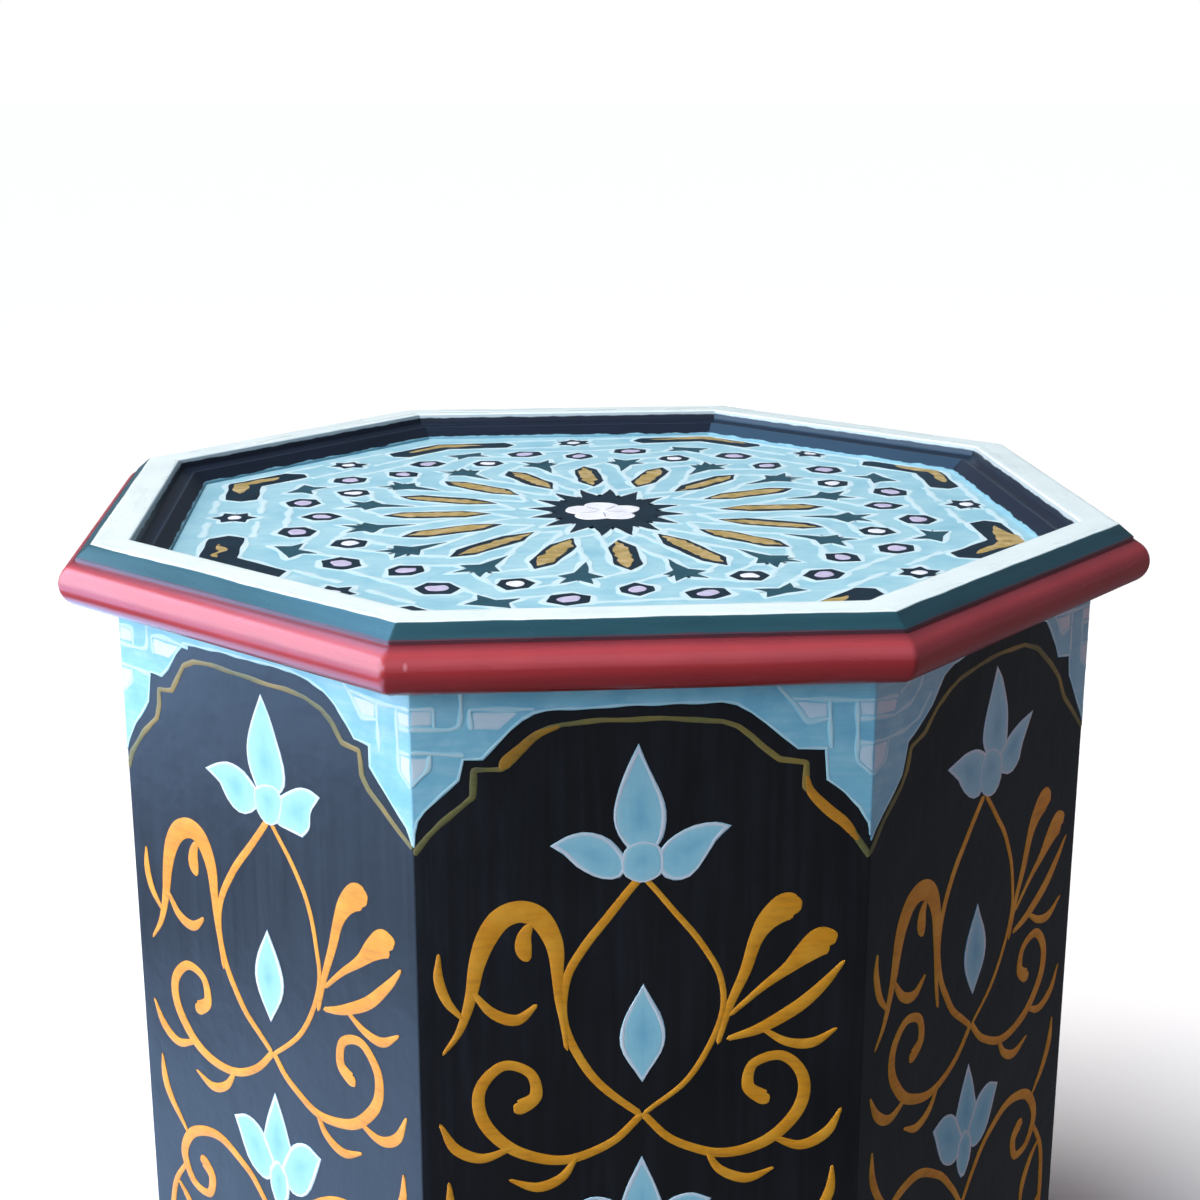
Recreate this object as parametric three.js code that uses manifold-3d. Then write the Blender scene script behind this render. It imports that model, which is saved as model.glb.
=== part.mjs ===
// A painted octagonal stool: eight mitred panels with stepped arches between the feet,
// a sunk tray of planks, and a moulded rim that frames it.
// Millimetres, +Z up, origin on the floor at the middle of the stool.

import * as THREE from 'three';
import { mergeVertices } from 'three/addons/utils/BufferGeometryUtils.js';
import Module from 'manifold-3d';

const wasm = await Module();
wasm.setup();

// Driving dimensions

const sideCount = 8;
const stoolHeight = 460; // floor to the flat top of the rim
const bodyInradius = 211; // centre to a panel's outer face
const jointGap = 0.3; // clearance between pieces that touch
const overrun = 4; // how far a cut runs past the piece it cuts

const panel = {
  thickness: 16,
};

// The arch between two feet: a jamb, a square step, a round lobe, a second step and a point
const arch = {
  halfWidth: 56, // at the floor
  jambHeight: 66,
  stepWidth: 8, // the lower step, inwards
  stepRise: 9, // and upwards
  lobeWidth: 30,
  lobeRise: 40,
  shoulderRise: 6, // the upper step
  pointRise: 15, // from the upper step to the point
};

const rim = {
  height: 26, // underside to flat top
  overhang: 9, // outer arris beyond the panels' face
  flatWidth: 15.4, // the flat between the two arrises
  bevelWidth: 6.3,
  bevelDrop: 5.4,
  noseRadius: 9.7,
  noseSetOut: 3.8, // centre of the nose beyond the outer arris
};

const cove = {
  width: 12.7, // from the rim towards the middle
  topSetDown: 0.4, // below the rim's flat top
  wallTilt: 1.6, // how far the upper wall leans in before the hollow starts
  wallDrop: 3.2,
  hollowWidth: 5,
  hollowDrop: 2.2,
  filletWidth: 0.8, // the small level step between the hollow and the foot
  footLift: 1.1, // height of the foot's toe
};

const tray = {
  plankCount: 4,
  plankThickness: 14,
};

const cleat = {
  width: 21,
  height: 20,
};

const block = {
  legLength: 27, // along each panel
  depth: 13, // square to each panel
  height: 230,
};

const batten = {
  width: 42,
  thickness: 18,
  setOut: 100, // its middle line from the stool's middle
};

const screw = {
  shankRadius: 2,
  headRadius: 4.2,
  headHeight: 2.4,
  biteDepth: 10, // length inside the plank
  tipLength: 3,
  holeClearance: 0.3,
  sideOffset: 20, // along the cleat from its middle
};

// How finely the round stretches are faceted

const noseSteps = 20;
const hollowSteps = 7;
const lobeSteps = 12;
const screwSteps = 14;

// Levels and radii that follow from the sizes above

const turn = (2 * Math.PI) / sideCount;
const mitre = turn / 2; // half the angle between two sides
const mitreSlope = Math.tan(mitre);
const mitreGap = jointGap / 2 / Math.cos(mitre); // along the side, for half a joint
const rimUnderside = stoolHeight - rim.height;
const panelTop = rimUnderside - jointGap;
const panelInnerInradius = bodyInradius - panel.thickness;
const rimInnerInradius = bodyInradius + rim.overhang - rim.flatWidth;
const plankInradius = rimInnerInradius - jointGap;
const plankUnderside = rimUnderside;
const plankTop = plankUnderside + tray.plankThickness;
const cleatTop = plankUnderside - jointGap;
const cleatBottom = cleatTop - cleat.height;
const cleatOuterInradius = panelInnerInradius - jointGap;
const cleatInnerInradius = cleatOuterInradius - cleat.width;
const screwInradius = cleatOuterInradius - cleat.width / 2;

// Materials

function makeMaterial(colour, roughness, metalness = 0) {
  return new THREE.MeshStandardMaterial({ color: colour, roughness, metalness });
}

const panelPaint = makeMaterial(0x20222c, 0.42);
const rimPaint = makeMaterial(0x9c4247, 0.38);
const covePaint = makeMaterial(0x1c212c, 0.42);
const topPaint = makeMaterial(0x9fdcec, 0.45);
const rawCedar = makeMaterial(0xb98a5c, 0.8);
const zincSteel = makeMaterial(0xb8bcc0, 0.4, 1);

// Shapes and solids

// A closed outline from [u, v] points
function outline(points) {
  return new THREE.Shape(points.map(([u, v]) => new THREE.Vector2(u, v)));
}

// Points of an elliptical arc between two angles, both ends included
function arcPoints(centreU, centreV, radiusU, radiusV, startAngle, endAngle, steps) {
  return Array.from({ length: steps + 1 }, (_, step) => {
    const angle = startAngle + ((endAngle - startAngle) * step) / steps;
    return [centreU + radiusU * Math.cos(angle), centreV + radiusV * Math.sin(angle)];
  });
}

// An outline pulled straight through a thickness
function extrude(points, depth) {
  return new THREE.ExtrudeGeometry(outline(points), { depth, bevelEnabled: false });
}

// A regular octagonal prism with flats facing the axes
function octagonPrism(inradius, bottom, height) {
  const cornerRadius = inradius / Math.cos(mitre);
  const corners = Array.from({ length: sideCount }, (_, corner) => {
    const angle = mitre + turn * corner;
    return [cornerRadius * Math.cos(angle), cornerRadius * Math.sin(angle)];
  });
  return extrude(corners, height).translate(0, 0, bottom);
}

// A bar that runs along one side of the octagon: its section is given in [radius, height],
// and both ends are drawn to the mitre planes, less half a joint each
function mitredBar(section) {
  const geometry = extrude(section, 1);
  const position = geometry.attributes.position;
  for (let index = 0; index < position.count; index += 1) {
    const radius = position.getX(index);
    const height = position.getY(index);
    const side = position.getZ(index) > 0 ? 1 : -1;
    position.setXYZ(index, radius, -side * (radius * mitreSlope - mitreGap), height);
  }
  return geometry;
}

function toSolid(geometry) {
  const bare = geometry.clone();
  bare.deleteAttribute('normal');
  bare.deleteAttribute('uv');
  const merged = mergeVertices(bare);
  const mesh = new wasm.Mesh({
    numProp: 3,
    vertProperties: new Float32Array(merged.attributes.position.array),
    triVerts: new Uint32Array(merged.index.array),
  });
  return new wasm.Manifold(mesh);
}

function toGeometry(solid) {
  const mesh = solid.getMesh();
  const geometry = new THREE.BufferGeometry();
  geometry.setAttribute('position', new THREE.BufferAttribute(mesh.vertProperties, mesh.numProp));
  geometry.setIndex(new THREE.BufferAttribute(mesh.triVerts, 1));
  geometry.computeVertexNormals();
  return geometry;
}

function cut(geometry, cutters) {
  return toGeometry(cutters.reduce((solid, cutter) => solid.subtract(toSolid(cutter)), toSolid(geometry)));
}

function keepInside(geometry, limit) {
  return toGeometry(toSolid(geometry).intersect(toSolid(limit)));
}

// Side panels: mitred boards that stand on the two feet left by the arch

function archPoints() {
  const lobeFoot = arch.jambHeight + arch.stepRise;
  const lobeOuter = arch.halfWidth - arch.stepWidth;
  const lobeInner = lobeOuter - arch.lobeWidth;
  const lobeTop = lobeFoot + arch.lobeRise;
  const shoulder = lobeTop + arch.shoulderRise;
  const right = [
    [arch.halfWidth, -overrun],
    [arch.halfWidth, arch.jambHeight],
    [lobeOuter, arch.jambHeight],
    ...arcPoints(lobeInner, lobeFoot, arch.lobeWidth, arch.lobeRise, 0, Math.PI / 2, lobeSteps),
    ...arcPoints(lobeInner, shoulder + arch.pointRise, lobeInner, arch.pointRise, -Math.PI / 2, -Math.PI, lobeSteps),
  ];
  const left = right
    .slice(0, -1)
    .reverse()
    .map(([across, height]) => [-across, height]);
  return [...right, ...left];
}

// The arch's cutter stands in the plane of the panel and passes through both faces
function archCutter() {
  const depth = panel.thickness + 2 * overrun;
  const upright = new THREE.Matrix4().makeBasis(
    new THREE.Vector3(0, 1, 0),
    new THREE.Vector3(0, 0, 1),
    new THREE.Vector3(1, 0, 0),
  );
  return extrude(archPoints(), depth)
    .applyMatrix4(upright)
    .translate(panelInnerInradius - overrun, 0, 0);
}

function panelGeometry() {
  const board = mitredBar([
    [panelInnerInradius, 0],
    [bodyInradius, 0],
    [bodyInradius, panelTop],
    [panelInnerInradius, panelTop],
  ]);
  return cut(board, [archCutter()]);
}

// Rim: flat top, bevel, square quirk and a half-round nose over a flat underside

function rimGeometry() {
  const arris = bodyInradius + rim.overhang;
  const bevelFoot = arris + rim.bevelWidth;
  const noseCentre = arris + rim.noseSetOut;
  const noseStart = Math.acos((bevelFoot - noseCentre) / rim.noseRadius);
  const nose = arcPoints(
    noseCentre,
    rimUnderside + rim.noseRadius,
    rim.noseRadius,
    rim.noseRadius,
    noseStart,
    -Math.PI / 2,
    noseSteps,
  );
  return mitredBar([
    [rimInnerInradius, rimUnderside],
    ...nose.reverse(),
    [bevelFoot, stoolHeight - rim.bevelDrop],
    [arris, stoolHeight],
    [rimInnerInradius, stoolHeight],
  ]);
}

// Cove strip: a leaning wall, a hollow, a small fillet and a sloping foot

function coveGeometry() {
  const back = rimInnerInradius - jointGap;
  const toe = back - cove.width;
  const base = plankTop + jointGap;
  const wallTop = stoolHeight - cove.topSetDown;
  const wallInner = back - cove.wallTilt;
  const hollowTop = wallTop - cove.wallDrop;
  const hollowInner = wallInner - cove.hollowWidth;
  const hollowFoot = hollowTop - cove.hollowDrop;
  const hollow = arcPoints(
    hollowInner,
    hollowTop,
    cove.hollowWidth,
    cove.hollowDrop,
    0,
    -Math.PI / 2,
    hollowSteps,
  );
  return mitredBar([
    [toe, base],
    [back, base],
    [back, wallTop],
    ...hollow,
    [hollowInner - cove.filletWidth, hollowFoot],
    [toe, base + cove.footLift],
  ]);
}

// Cleats inside the panels' top edges, with a clear hole for the screw

function screwShaft() {
  const radius = screw.shankRadius + screw.holeClearance;
  const depth = cleat.height + screw.biteDepth + screw.holeClearance + jointGap + overrun;
  return new THREE.CylinderGeometry(radius, radius, depth, screwSteps)
    .rotateX(Math.PI / 2)
    .translate(screwInradius, screw.sideOffset, cleatBottom - overrun + depth / 2);
}

function cleatGeometry() {
  const bar = mitredBar([
    [cleatInnerInradius, cleatBottom],
    [cleatOuterInradius, cleatBottom],
    [cleatOuterInradius, cleatTop],
    [cleatInnerInradius, cleatTop],
  ]);
  return cut(bar, [screwShaft()]);
}

// Round-headed screws that hold the planks down through the cleats

function screwGeometry() {
  const headTop = cleatBottom - jointGap;
  const tip = plankUnderside + screw.biteDepth;
  const head = arcPoints(
    0,
    headTop,
    screw.headRadius,
    screw.headHeight,
    -Math.PI / 2,
    0,
    hollowSteps,
  );
  const profile = [
    ...head,
    [screw.shankRadius, headTop],
    [screw.shankRadius, tip - screw.tipLength],
    [0, tip],
  ].map(([radius, height]) => new THREE.Vector2(radius, height));
  return new THREE.LatheGeometry(profile, screwSteps)
    .rotateX(Math.PI / 2)
    .translate(screwInradius, screw.sideOffset, 0);
}

// Glue blocks that fill the angle between two panels, drawn with the corner on +X

function blockGeometry() {
  const corner = (panelInnerInradius - jointGap) / Math.cos(mitre);
  const faceAngle = Math.PI / 2 + mitre; // one panel's face, seen from the corner line
  const along = new THREE.Vector2(Math.cos(faceAngle), Math.sin(faceAngle));
  const inward = new THREE.Vector2(-Math.cos(mitre), -Math.sin(mitre));
  const heel = new THREE.Vector2(corner, 0);
  const end = heel.clone().addScaledVector(along, block.legLength);
  const shoulder = end.clone().addScaledVector(inward, block.depth);
  const half = [end, shoulder].map(({ x, y }) => [x, y]);
  const mirrored = half.map(([x, y]) => [x, -y]).reverse();
  const top = cleatBottom - jointGap;
  return extrude([[corner, 0], ...half, ...mirrored], block.height).translate(0, 0, top - block.height);
}

// Planks: the tray's floor, cut to the octagon, with blind holes for the screws

function plankGeometry(index) {
  const pitch = (2 * plankInradius) / tray.plankCount;
  const width = pitch - jointGap;
  const middle = (index + 0.5) * pitch - plankInradius;
  const board = new THREE.BoxGeometry(2 * plankInradius, width, tray.plankThickness);
  board.translate(0, middle, plankUnderside + tray.plankThickness / 2);
  const shaped = keepInside(board, octagonPrism(plankInradius, plankUnderside, tray.plankThickness));
  const holes = Array.from({ length: sideCount }, (_, side) => screwShaft().rotateZ(turn * side));
  return cut(shaped, holes);
}

// Battens under the planks, cut back where they meet the cleats

function battenGeometry(side) {
  const reach = cleatInnerInradius - jointGap;
  const top = plankUnderside - jointGap;
  const bar = new THREE.BoxGeometry(batten.width, 2 * reach, batten.thickness);
  bar.translate(side * batten.setOut, 0, top - batten.thickness / 2);
  return keepInside(bar, octagonPrism(reach, top - batten.thickness, batten.thickness));
}

// Assembly

const stool = new THREE.Group();

function addPiece(name, geometry, material, angle = 0) {
  const piece = new THREE.Mesh(geometry, material);
  piece.name = name;
  piece.rotation.z = angle;
  stool.add(piece);
}

// The first side faces the front, -Y, and the rest follow anticlockwise from above
function addRing(name, geometry, material, offset = 0) {
  for (let side = 0; side < sideCount; side += 1) {
    addPiece(`${name}_${side + 1}`, geometry, material, turn * side - Math.PI / 2 + offset);
  }
}

addRing('side_panel', panelGeometry(), panelPaint);
addRing('corner_block', blockGeometry(), rawCedar, mitre);
addRing('top_cleat', cleatGeometry(), rawCedar);
addRing('top_screw', screwGeometry(), zincSteel);
for (let index = 0; index < tray.plankCount; index += 1) {
  addPiece(`top_plank_${index + 1}`, plankGeometry(index), topPaint);
}
addPiece('plank_batten_left', battenGeometry(-1), rawCedar);
addPiece('plank_batten_right', battenGeometry(1), rawCedar);
addRing('rim_moulding', rimGeometry(), rimPaint);
addRing('cove_strip', coveGeometry(), covePaint);

export default stool;
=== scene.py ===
# An eight-sided painted cedar stool with a sunk tray top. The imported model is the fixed
# frame; the mouldings, the boards and every painted layer are laid over it here.
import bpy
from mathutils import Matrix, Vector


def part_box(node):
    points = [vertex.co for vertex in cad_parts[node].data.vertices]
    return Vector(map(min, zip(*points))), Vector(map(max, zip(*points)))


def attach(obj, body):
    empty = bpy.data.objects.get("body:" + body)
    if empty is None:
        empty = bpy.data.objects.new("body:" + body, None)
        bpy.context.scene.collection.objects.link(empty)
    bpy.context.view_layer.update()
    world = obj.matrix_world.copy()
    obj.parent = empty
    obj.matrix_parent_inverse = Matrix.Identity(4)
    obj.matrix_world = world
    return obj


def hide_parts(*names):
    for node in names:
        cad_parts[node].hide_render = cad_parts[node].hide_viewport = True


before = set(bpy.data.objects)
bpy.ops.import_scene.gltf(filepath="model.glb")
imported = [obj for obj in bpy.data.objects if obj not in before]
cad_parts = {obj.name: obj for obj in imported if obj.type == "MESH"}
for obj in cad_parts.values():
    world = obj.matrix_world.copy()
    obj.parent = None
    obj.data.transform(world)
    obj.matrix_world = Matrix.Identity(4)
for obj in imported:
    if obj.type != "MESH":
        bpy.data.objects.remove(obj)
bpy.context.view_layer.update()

import math

import bmesh
import bpy
import numpy as np
from mathutils import Vector

scene = bpy.context.scene
sideCount = 8
halfAngle = math.pi / sideCount
halfTan = math.tan(halfAngle)
arrisAngle = math.radians(32)  # edges sharper than this stay crisp
weld = 1e-6  # metres; closes seams and poles
tiny = 1e-6  # a length below this counts as none
metre = 1000  # millimetres: shapes are worked out in mm, meshes and patterns are in metres
uvName = "surface"
sideShift = 0.37  # metres; each side reads another part of the brush pattern


def boxOf(node):
    # a node's two corners in millimetres
    low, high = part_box(node)
    return np.array(low) * metre, np.array(high) * metre


rimLow, rimHigh = boxOf("rim_moulding_3")
coveLow, coveHigh = boxOf("cove_strip_3")
panelLow, panelHigh = boxOf("side_panel_3")
plankTop = boxOf("top_plank_1")[1][2]
stoolTop = rimHigh[2]
panelFace = panelHigh[0]
panelBack = panelLow[0]
panelTop = panelHigh[2]
print("frame loaded:", len(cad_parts), "nodes, top at", round(float(stoolTop), 1), "mm")

# Curves and coats of paint

tremorPhase = np.array([0.0, 1.7, 3.9])
tremorWaves = np.array([[1.0, 0.35], [-0.55, 1.2], [0.8, -0.9]])  # the directions of its three waves
tremorRatio = 1.3  # the second coordinate's waves are this much shorter
cutShare = 0.4  # a corner is cut back by no more than this share of a run
mitreLimit = 2.2  # a mitred normal is no longer than this


def wobble(points, size, wave, seed):
    # a slow hand tremor: each coordinate moves by size * mean of three sines of the place
    turn = tremorWaves * 2 * math.pi / wave
    angles = points @ turn.T + (tremorPhase + seed)
    return points + size * np.stack([np.sin(angles).mean(1), np.cos(angles * tremorRatio).mean(1)], 1)


def curveThrough(points, count):
    # smooth curve through the points: cubic pieces whose tangents are half the chord between neighbours
    points = np.asarray(points, float)
    tangents = np.gradient(points, axis=0)
    place = np.linspace(0, len(points) - 1, count)
    low = np.minimum(place.astype(int), len(points) - 2)
    t = (place - low)[:, None]
    a, b = points[low], points[low + 1]
    ta, tb = tangents[low], tangents[low + 1]
    return (2 * t ** 3 - 3 * t ** 2 + 1) * a + (t ** 3 - 2 * t ** 2 + t) * ta \
        + (3 * t ** 2 - 2 * t ** 3) * b + (t ** 3 - t ** 2) * tb


def runLengths(points):
    # the length of each run of a line, and the distance travelled at each of its points
    lengths = np.linalg.norm(np.diff(points, axis=0), axis=1)
    return lengths, np.concatenate([[0], np.cumsum(lengths)])


def alongLine(points, spacing, cut=0.0, closed=False):
    # the polyline with its corners cut back by an even amount, each cut bent through the middle of its
    # quadratic curve, (into + 2 * corner + out) / 4, and each run split into equal steps
    points = np.asarray(points, float)
    if closed:
        before, after = np.roll(points, 1, 0), np.roll(points, -1, 0)
    else:
        before = np.vstack([points[:1], points[:-1]])
        after = np.vstack([points[1:], points[-1:]])
    cuts = []
    for neighbour in (before, after):
        away = np.linalg.norm(neighbour - points, axis=1)[:, None]
        reach = np.minimum(cut, away * cutShare)
        cuts.append(points + (neighbour - points) * reach / np.maximum(away, tiny))
    into, out = cuts
    knee = (into + 2 * points + out) / 4
    line = np.stack([into, knee, out], 1).reshape(-1, 2) if cut > 0 else points
    if closed:
        line = np.vstack([line, line[:1]])
    line = line[np.concatenate([[True], runLengths(line)[0] > tiny])]
    lengths, travel = runLengths(line)
    steps = np.maximum(1, np.ceil(lengths / spacing)).astype(int)
    stops = np.concatenate([np.linspace(travel[i], travel[i + 1], n, endpoint=False)
                            for i, n in enumerate(steps)] + [[] if closed else [travel[-1]]])
    return np.stack([np.interp(stops, travel, line[:, axis]) for axis in (0, 1)], 1)


def lineNormals(points, closed):
    # the mitred left-hand normal at each point, lengthened by 1 / cos of half the turn up to the limit
    points = np.asarray(points, float)
    if closed:
        ahead = np.roll(points, -1, 0) - points
        behind = points - np.roll(points, 1, 0)
    else:
        step = np.diff(points, axis=0)
        ahead = np.vstack([step, step[-1:]])
        behind = np.vstack([step[:1], step])
    ahead /= np.maximum(np.linalg.norm(ahead, axis=1), tiny)[:, None]
    behind /= np.maximum(np.linalg.norm(behind, axis=1), tiny)[:, None]
    mean = ahead + behind
    size = np.maximum(np.linalg.norm(mean, axis=1), tiny)
    mean /= size[:, None]
    return np.stack([-mean[:, 1], mean[:, 0]], 1) * np.minimum(2 / size, mitreLimit)[:, None]


def gridPart(grid, uv, capEnds=False, finish=None):
    # a part from rows of rings: the quads between neighbouring rings, and its two end rings as faces
    # where asked; finish gives each face's material
    rows, columns = grid.shape[:2]
    i = np.arange(rows - 1)[:, None]
    j = np.arange(columns)[None, :]
    following = (j + 1) % columns
    quads = np.broadcast_arrays(i * columns + j, i * columns + following, (i + 1) * columns + following,
                                (i + 1) * columns + j)
    faces = np.stack(quads, -1).reshape(-1, 4).tolist()
    if capEnds:
        faces.append(list(range(columns)))
        faces.append(list(range((rows - 1) * columns, rows * columns)))
    finishes = np.zeros(len(faces), int) if finish is None else finish
    return {"points": grid.reshape(-1, 3), "faces": faces, "uv": uv.reshape(-1, 2), "finish": list(finishes)}


paintLayer = {
    "sink": 0.05,  # how far each coat is let into the one under it
    "shoulder": 0.35, "shoulderMost": 0.5,  # width of a coat's rounded edge, and its most as a share
    "core": 1.3, "coreMost": 0.75,  # a stroke is at its fullest this far in from its edge
    "wall": 0.45, "lineWall": 0.4,  # a coat's and a line's upright edge, as a share of the height
    "crown": 0.01, "lineAcross": (-0.5, -0.5, -0.36, 0.0, 0.36, 0.5, 0.5),  # a line's section
    "leastEnd": 0.02, "edgeNear": 0.3,
    "spacing": 1.6, "cornerCut": 0.7,
}


def liftedGrid(flat, level):
    # rows of flat points raised to the level of their column
    return np.concatenate([flat, np.broadcast_to(level[None, :, None], flat.shape[:2] + (1,))], 2)


def filmFan(outline, height, centre=None, stroke=False, inside=1.0):
    # a closed coat of paint: rings of the outline scaled towards its centre, at the coat's height; a
    # stroke's second UV is its nearness to the middle: 0 at the edge, inside at the core, 1 at the centre
    outline = np.asarray(outline, float)
    centre = outline.mean(0) if centre is None else np.asarray(centre, float)
    reach = np.maximum(np.linalg.norm(outline - centre, axis=1), tiny)
    inner = (1 - np.minimum(paintLayer["shoulder"] / reach, paintLayer["shoulderMost"]))[:, None]
    deep = (1 - np.minimum(paintLayer["core"] / reach, paintLayer["coreMost"]))[:, None]
    none, full = np.zeros_like(inner), np.ones_like(inner)
    sink, wall = -paintLayer["sink"], height * paintLayer["wall"]
    rings = zip([none, full, full, inner, deep, none], [sink, sink, wall, height, height, height])
    grid = np.stack([np.column_stack([centre + (outline - centre) * scale, np.full(len(outline), level)])
                     for scale, level in rings])
    if not stroke:
        return gridPart(grid, grid[:, :, :2] / metre)
    travel = np.cumsum(np.linalg.norm(outline - np.roll(outline, 1, 0), axis=1)) / metre
    near = np.array([1, 0, 0, paintLayer["edgeNear"] * inside, inside, 1.0])
    return gridPart(grid, np.stack(np.broadcast_arrays(travel[None, :], near[:, None]), -1))


def filmRibbon(path, width, height, closed=False, drawn=True, stroke=False):
    # a brushed line: at each point of the path, a low crowned section across the mitred normal; a drawn
    # line's ends are round, width * sqrt(1 - (1 - s) ** 2) over its last half width
    path = np.asarray(path, float)
    normals = lineNormals(path, closed)
    width = np.broadcast_to(np.asarray(width, float), len(path)).copy()
    steps = runLengths(path)[1]
    if drawn and not closed:
        near = np.clip(np.minimum(steps, steps[-1] - steps) / np.maximum(width / 2, tiny), 0, 1)
        width *= np.sqrt(np.clip(1 - (1 - near) ** 2, paintLayer["leastEnd"], 1))
    across = np.array(paintLayer["lineAcross"])
    sink, wall = -paintLayer["sink"], height * paintLayer["lineWall"]
    level = np.array([sink, wall, height, height + paintLayer["crown"], height, wall, sink])
    flat = path[:, None, :] + normals[:, None, :] * (width[:, None] * across)[:, :, None]
    grid = liftedGrid(flat, level)
    uv = grid[:, :, :2] / metre
    if stroke:
        uv = np.stack(np.broadcast_arrays(steps[:, None] / metre, 1 - 2 * np.abs(across)[None, :]), -1)
    if closed:
        grid, uv = np.concatenate([grid, grid[:1]]), np.concatenate([uv, uv[:1]])
    return gridPart(grid, uv, capEnds=not closed)


def filmPatch(low, high, height, columns=3):
    # a coat between two lines of equally many points, straight across from one to the other
    share = np.concatenate([[0], np.linspace(0, 1, columns), [1]])
    level = np.concatenate([[-paintLayer["sink"]], np.full(columns, height), [-paintLayer["sink"]]])
    grid = liftedGrid(low[:, None, :] + (high - low)[:, None, :] * share[None, :, None], level)
    return gridPart(grid, grid[:, :, :2] / metre, capEnds=True)


def makePiece(name, parts, materials, replaced=()):
    # joins the parts, closes seams and poles, turns faces outwards and hands the piece to the frame
    starts = np.cumsum([0] + [len(part["points"]) for part in parts[:-1]]).tolist()
    points = np.concatenate([part["points"] for part in parts]) / metre
    uv = np.concatenate([part["uv"] for part in parts])
    faces = [[corner + start for corner in face] for part, start in zip(parts, starts)
             for face in part["faces"]]
    mesh = bpy.data.meshes.new(name)
    mesh.from_pydata(points.tolist(), [], faces)
    mesh.polygons.foreach_set("material_index", [finish for part in parts for finish in part["finish"]])
    layer = mesh.uv_layers.new(name=uvName)
    corners = np.zeros(len(mesh.loops), int)
    mesh.loops.foreach_get("vertex_index", corners)
    layer.data.foreach_set("uv", uv[corners].ravel())
    shape = bmesh.new()
    shape.from_mesh(mesh)
    bmesh.ops.remove_doubles(shape, verts=shape.verts, dist=weld)
    bmesh.ops.dissolve_degenerate(shape, edges=shape.edges, dist=weld)
    bmesh.ops.recalc_face_normals(shape, faces=shape.faces)
    shape.to_mesh(mesh)
    shape.free()
    mesh.polygons.foreach_set("use_smooth", [True] * len(mesh.polygons))
    mesh.set_sharp_from_angle(angle=arrisAngle)
    for material in materials:
        mesh.materials.append(material)
    piece = bpy.data.objects.new(name, mesh)
    scene.collection.objects.link(piece)
    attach(piece, "root")
    if replaced:
        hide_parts(*replaced)


def sidePoint(side, out, along, height):
    # out * the side's normal + along * its run, at that height; side 1 faces the front
    angle = -math.pi / 2 + (side - 1) * 2 * halfAngle
    x = out * math.cos(angle) - along * math.sin(angle)
    y = out * math.sin(angle) + along * math.cos(angle)
    return np.stack([x, y, height + 0 * x], -1)


# Materials


def linearColour(text):
    # sRGB hex to linear: ((c + 0.055) / 1.055) ** 2.4 above 0.04045, and c / 12.92 below
    values = [int(text[i:i + 2], 16) / 255 for i in (1, 3, 5)]
    return [((c + 0.055) / 1.055) ** 2.4 if c > 0.04045 else c / 12.92 for c in values] + [1.0]


def openSocket(sockets, name):
    # a socket by its number, or the one of that name that the node's settings leave open
    if isinstance(name, int):
        return sockets[name]
    return next(socket for socket in sockets if socket.enabled and socket.name == name)


def addNode(tree, kind, settings=None, links=None):
    # one node: a setting is an attribute or a socket's value, and a hex colour turns linear; a link is a
    # socket and its source, where a node stands for its first open output
    node = tree.nodes.new("ShaderNode" + kind)
    for name, value in (settings or {}).items():
        if isinstance(value, str) and value.startswith("#"):
            value = linearColour(value)
        if isinstance(name, str) and hasattr(node, name):
            setattr(node, name, value)
        else:
            openSocket(node.inputs, name).default_value = value
    for name, source in (links or {}).items():
        if isinstance(source, bpy.types.Node):
            source = next(s for s in source.outputs if s.enabled)
        tree.links.new(source, openSocket(node.inputs, name))
    return node


def newMaterial(name):
    # an empty material and its node tree
    material = bpy.data.materials.new(name)
    material.use_nodes = True
    material.node_tree.nodes.clear()
    return material, material.node_tree


def finishMaterial(tree, settings, links):
    # the shader with its fixed settings, the nodes that vary it, and the output
    shader = addNode(tree, "BsdfPrincipled", settings, links)
    addNode(tree, "OutputMaterial", None, {"Surface": shader})


def patternScale(*sizes):
    # how often a pattern of these sizes in millimetres repeats in a metre, for each axis
    scales = [metre / size for size in sizes]
    return scales[0] if len(scales) == 1 else scales


oilGloss = {"IOR": 1.48, "Specular IOR Level": 0.4}
usualCoat = {"streak": 0.8, "uneven": 0.6, "gloss": (0.3, 0.48), "relief": 0.5, "sway": 0.1, "specular": 0.4}
gritSize = 0.9  # millimetres, in the gesso under the paint


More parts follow.
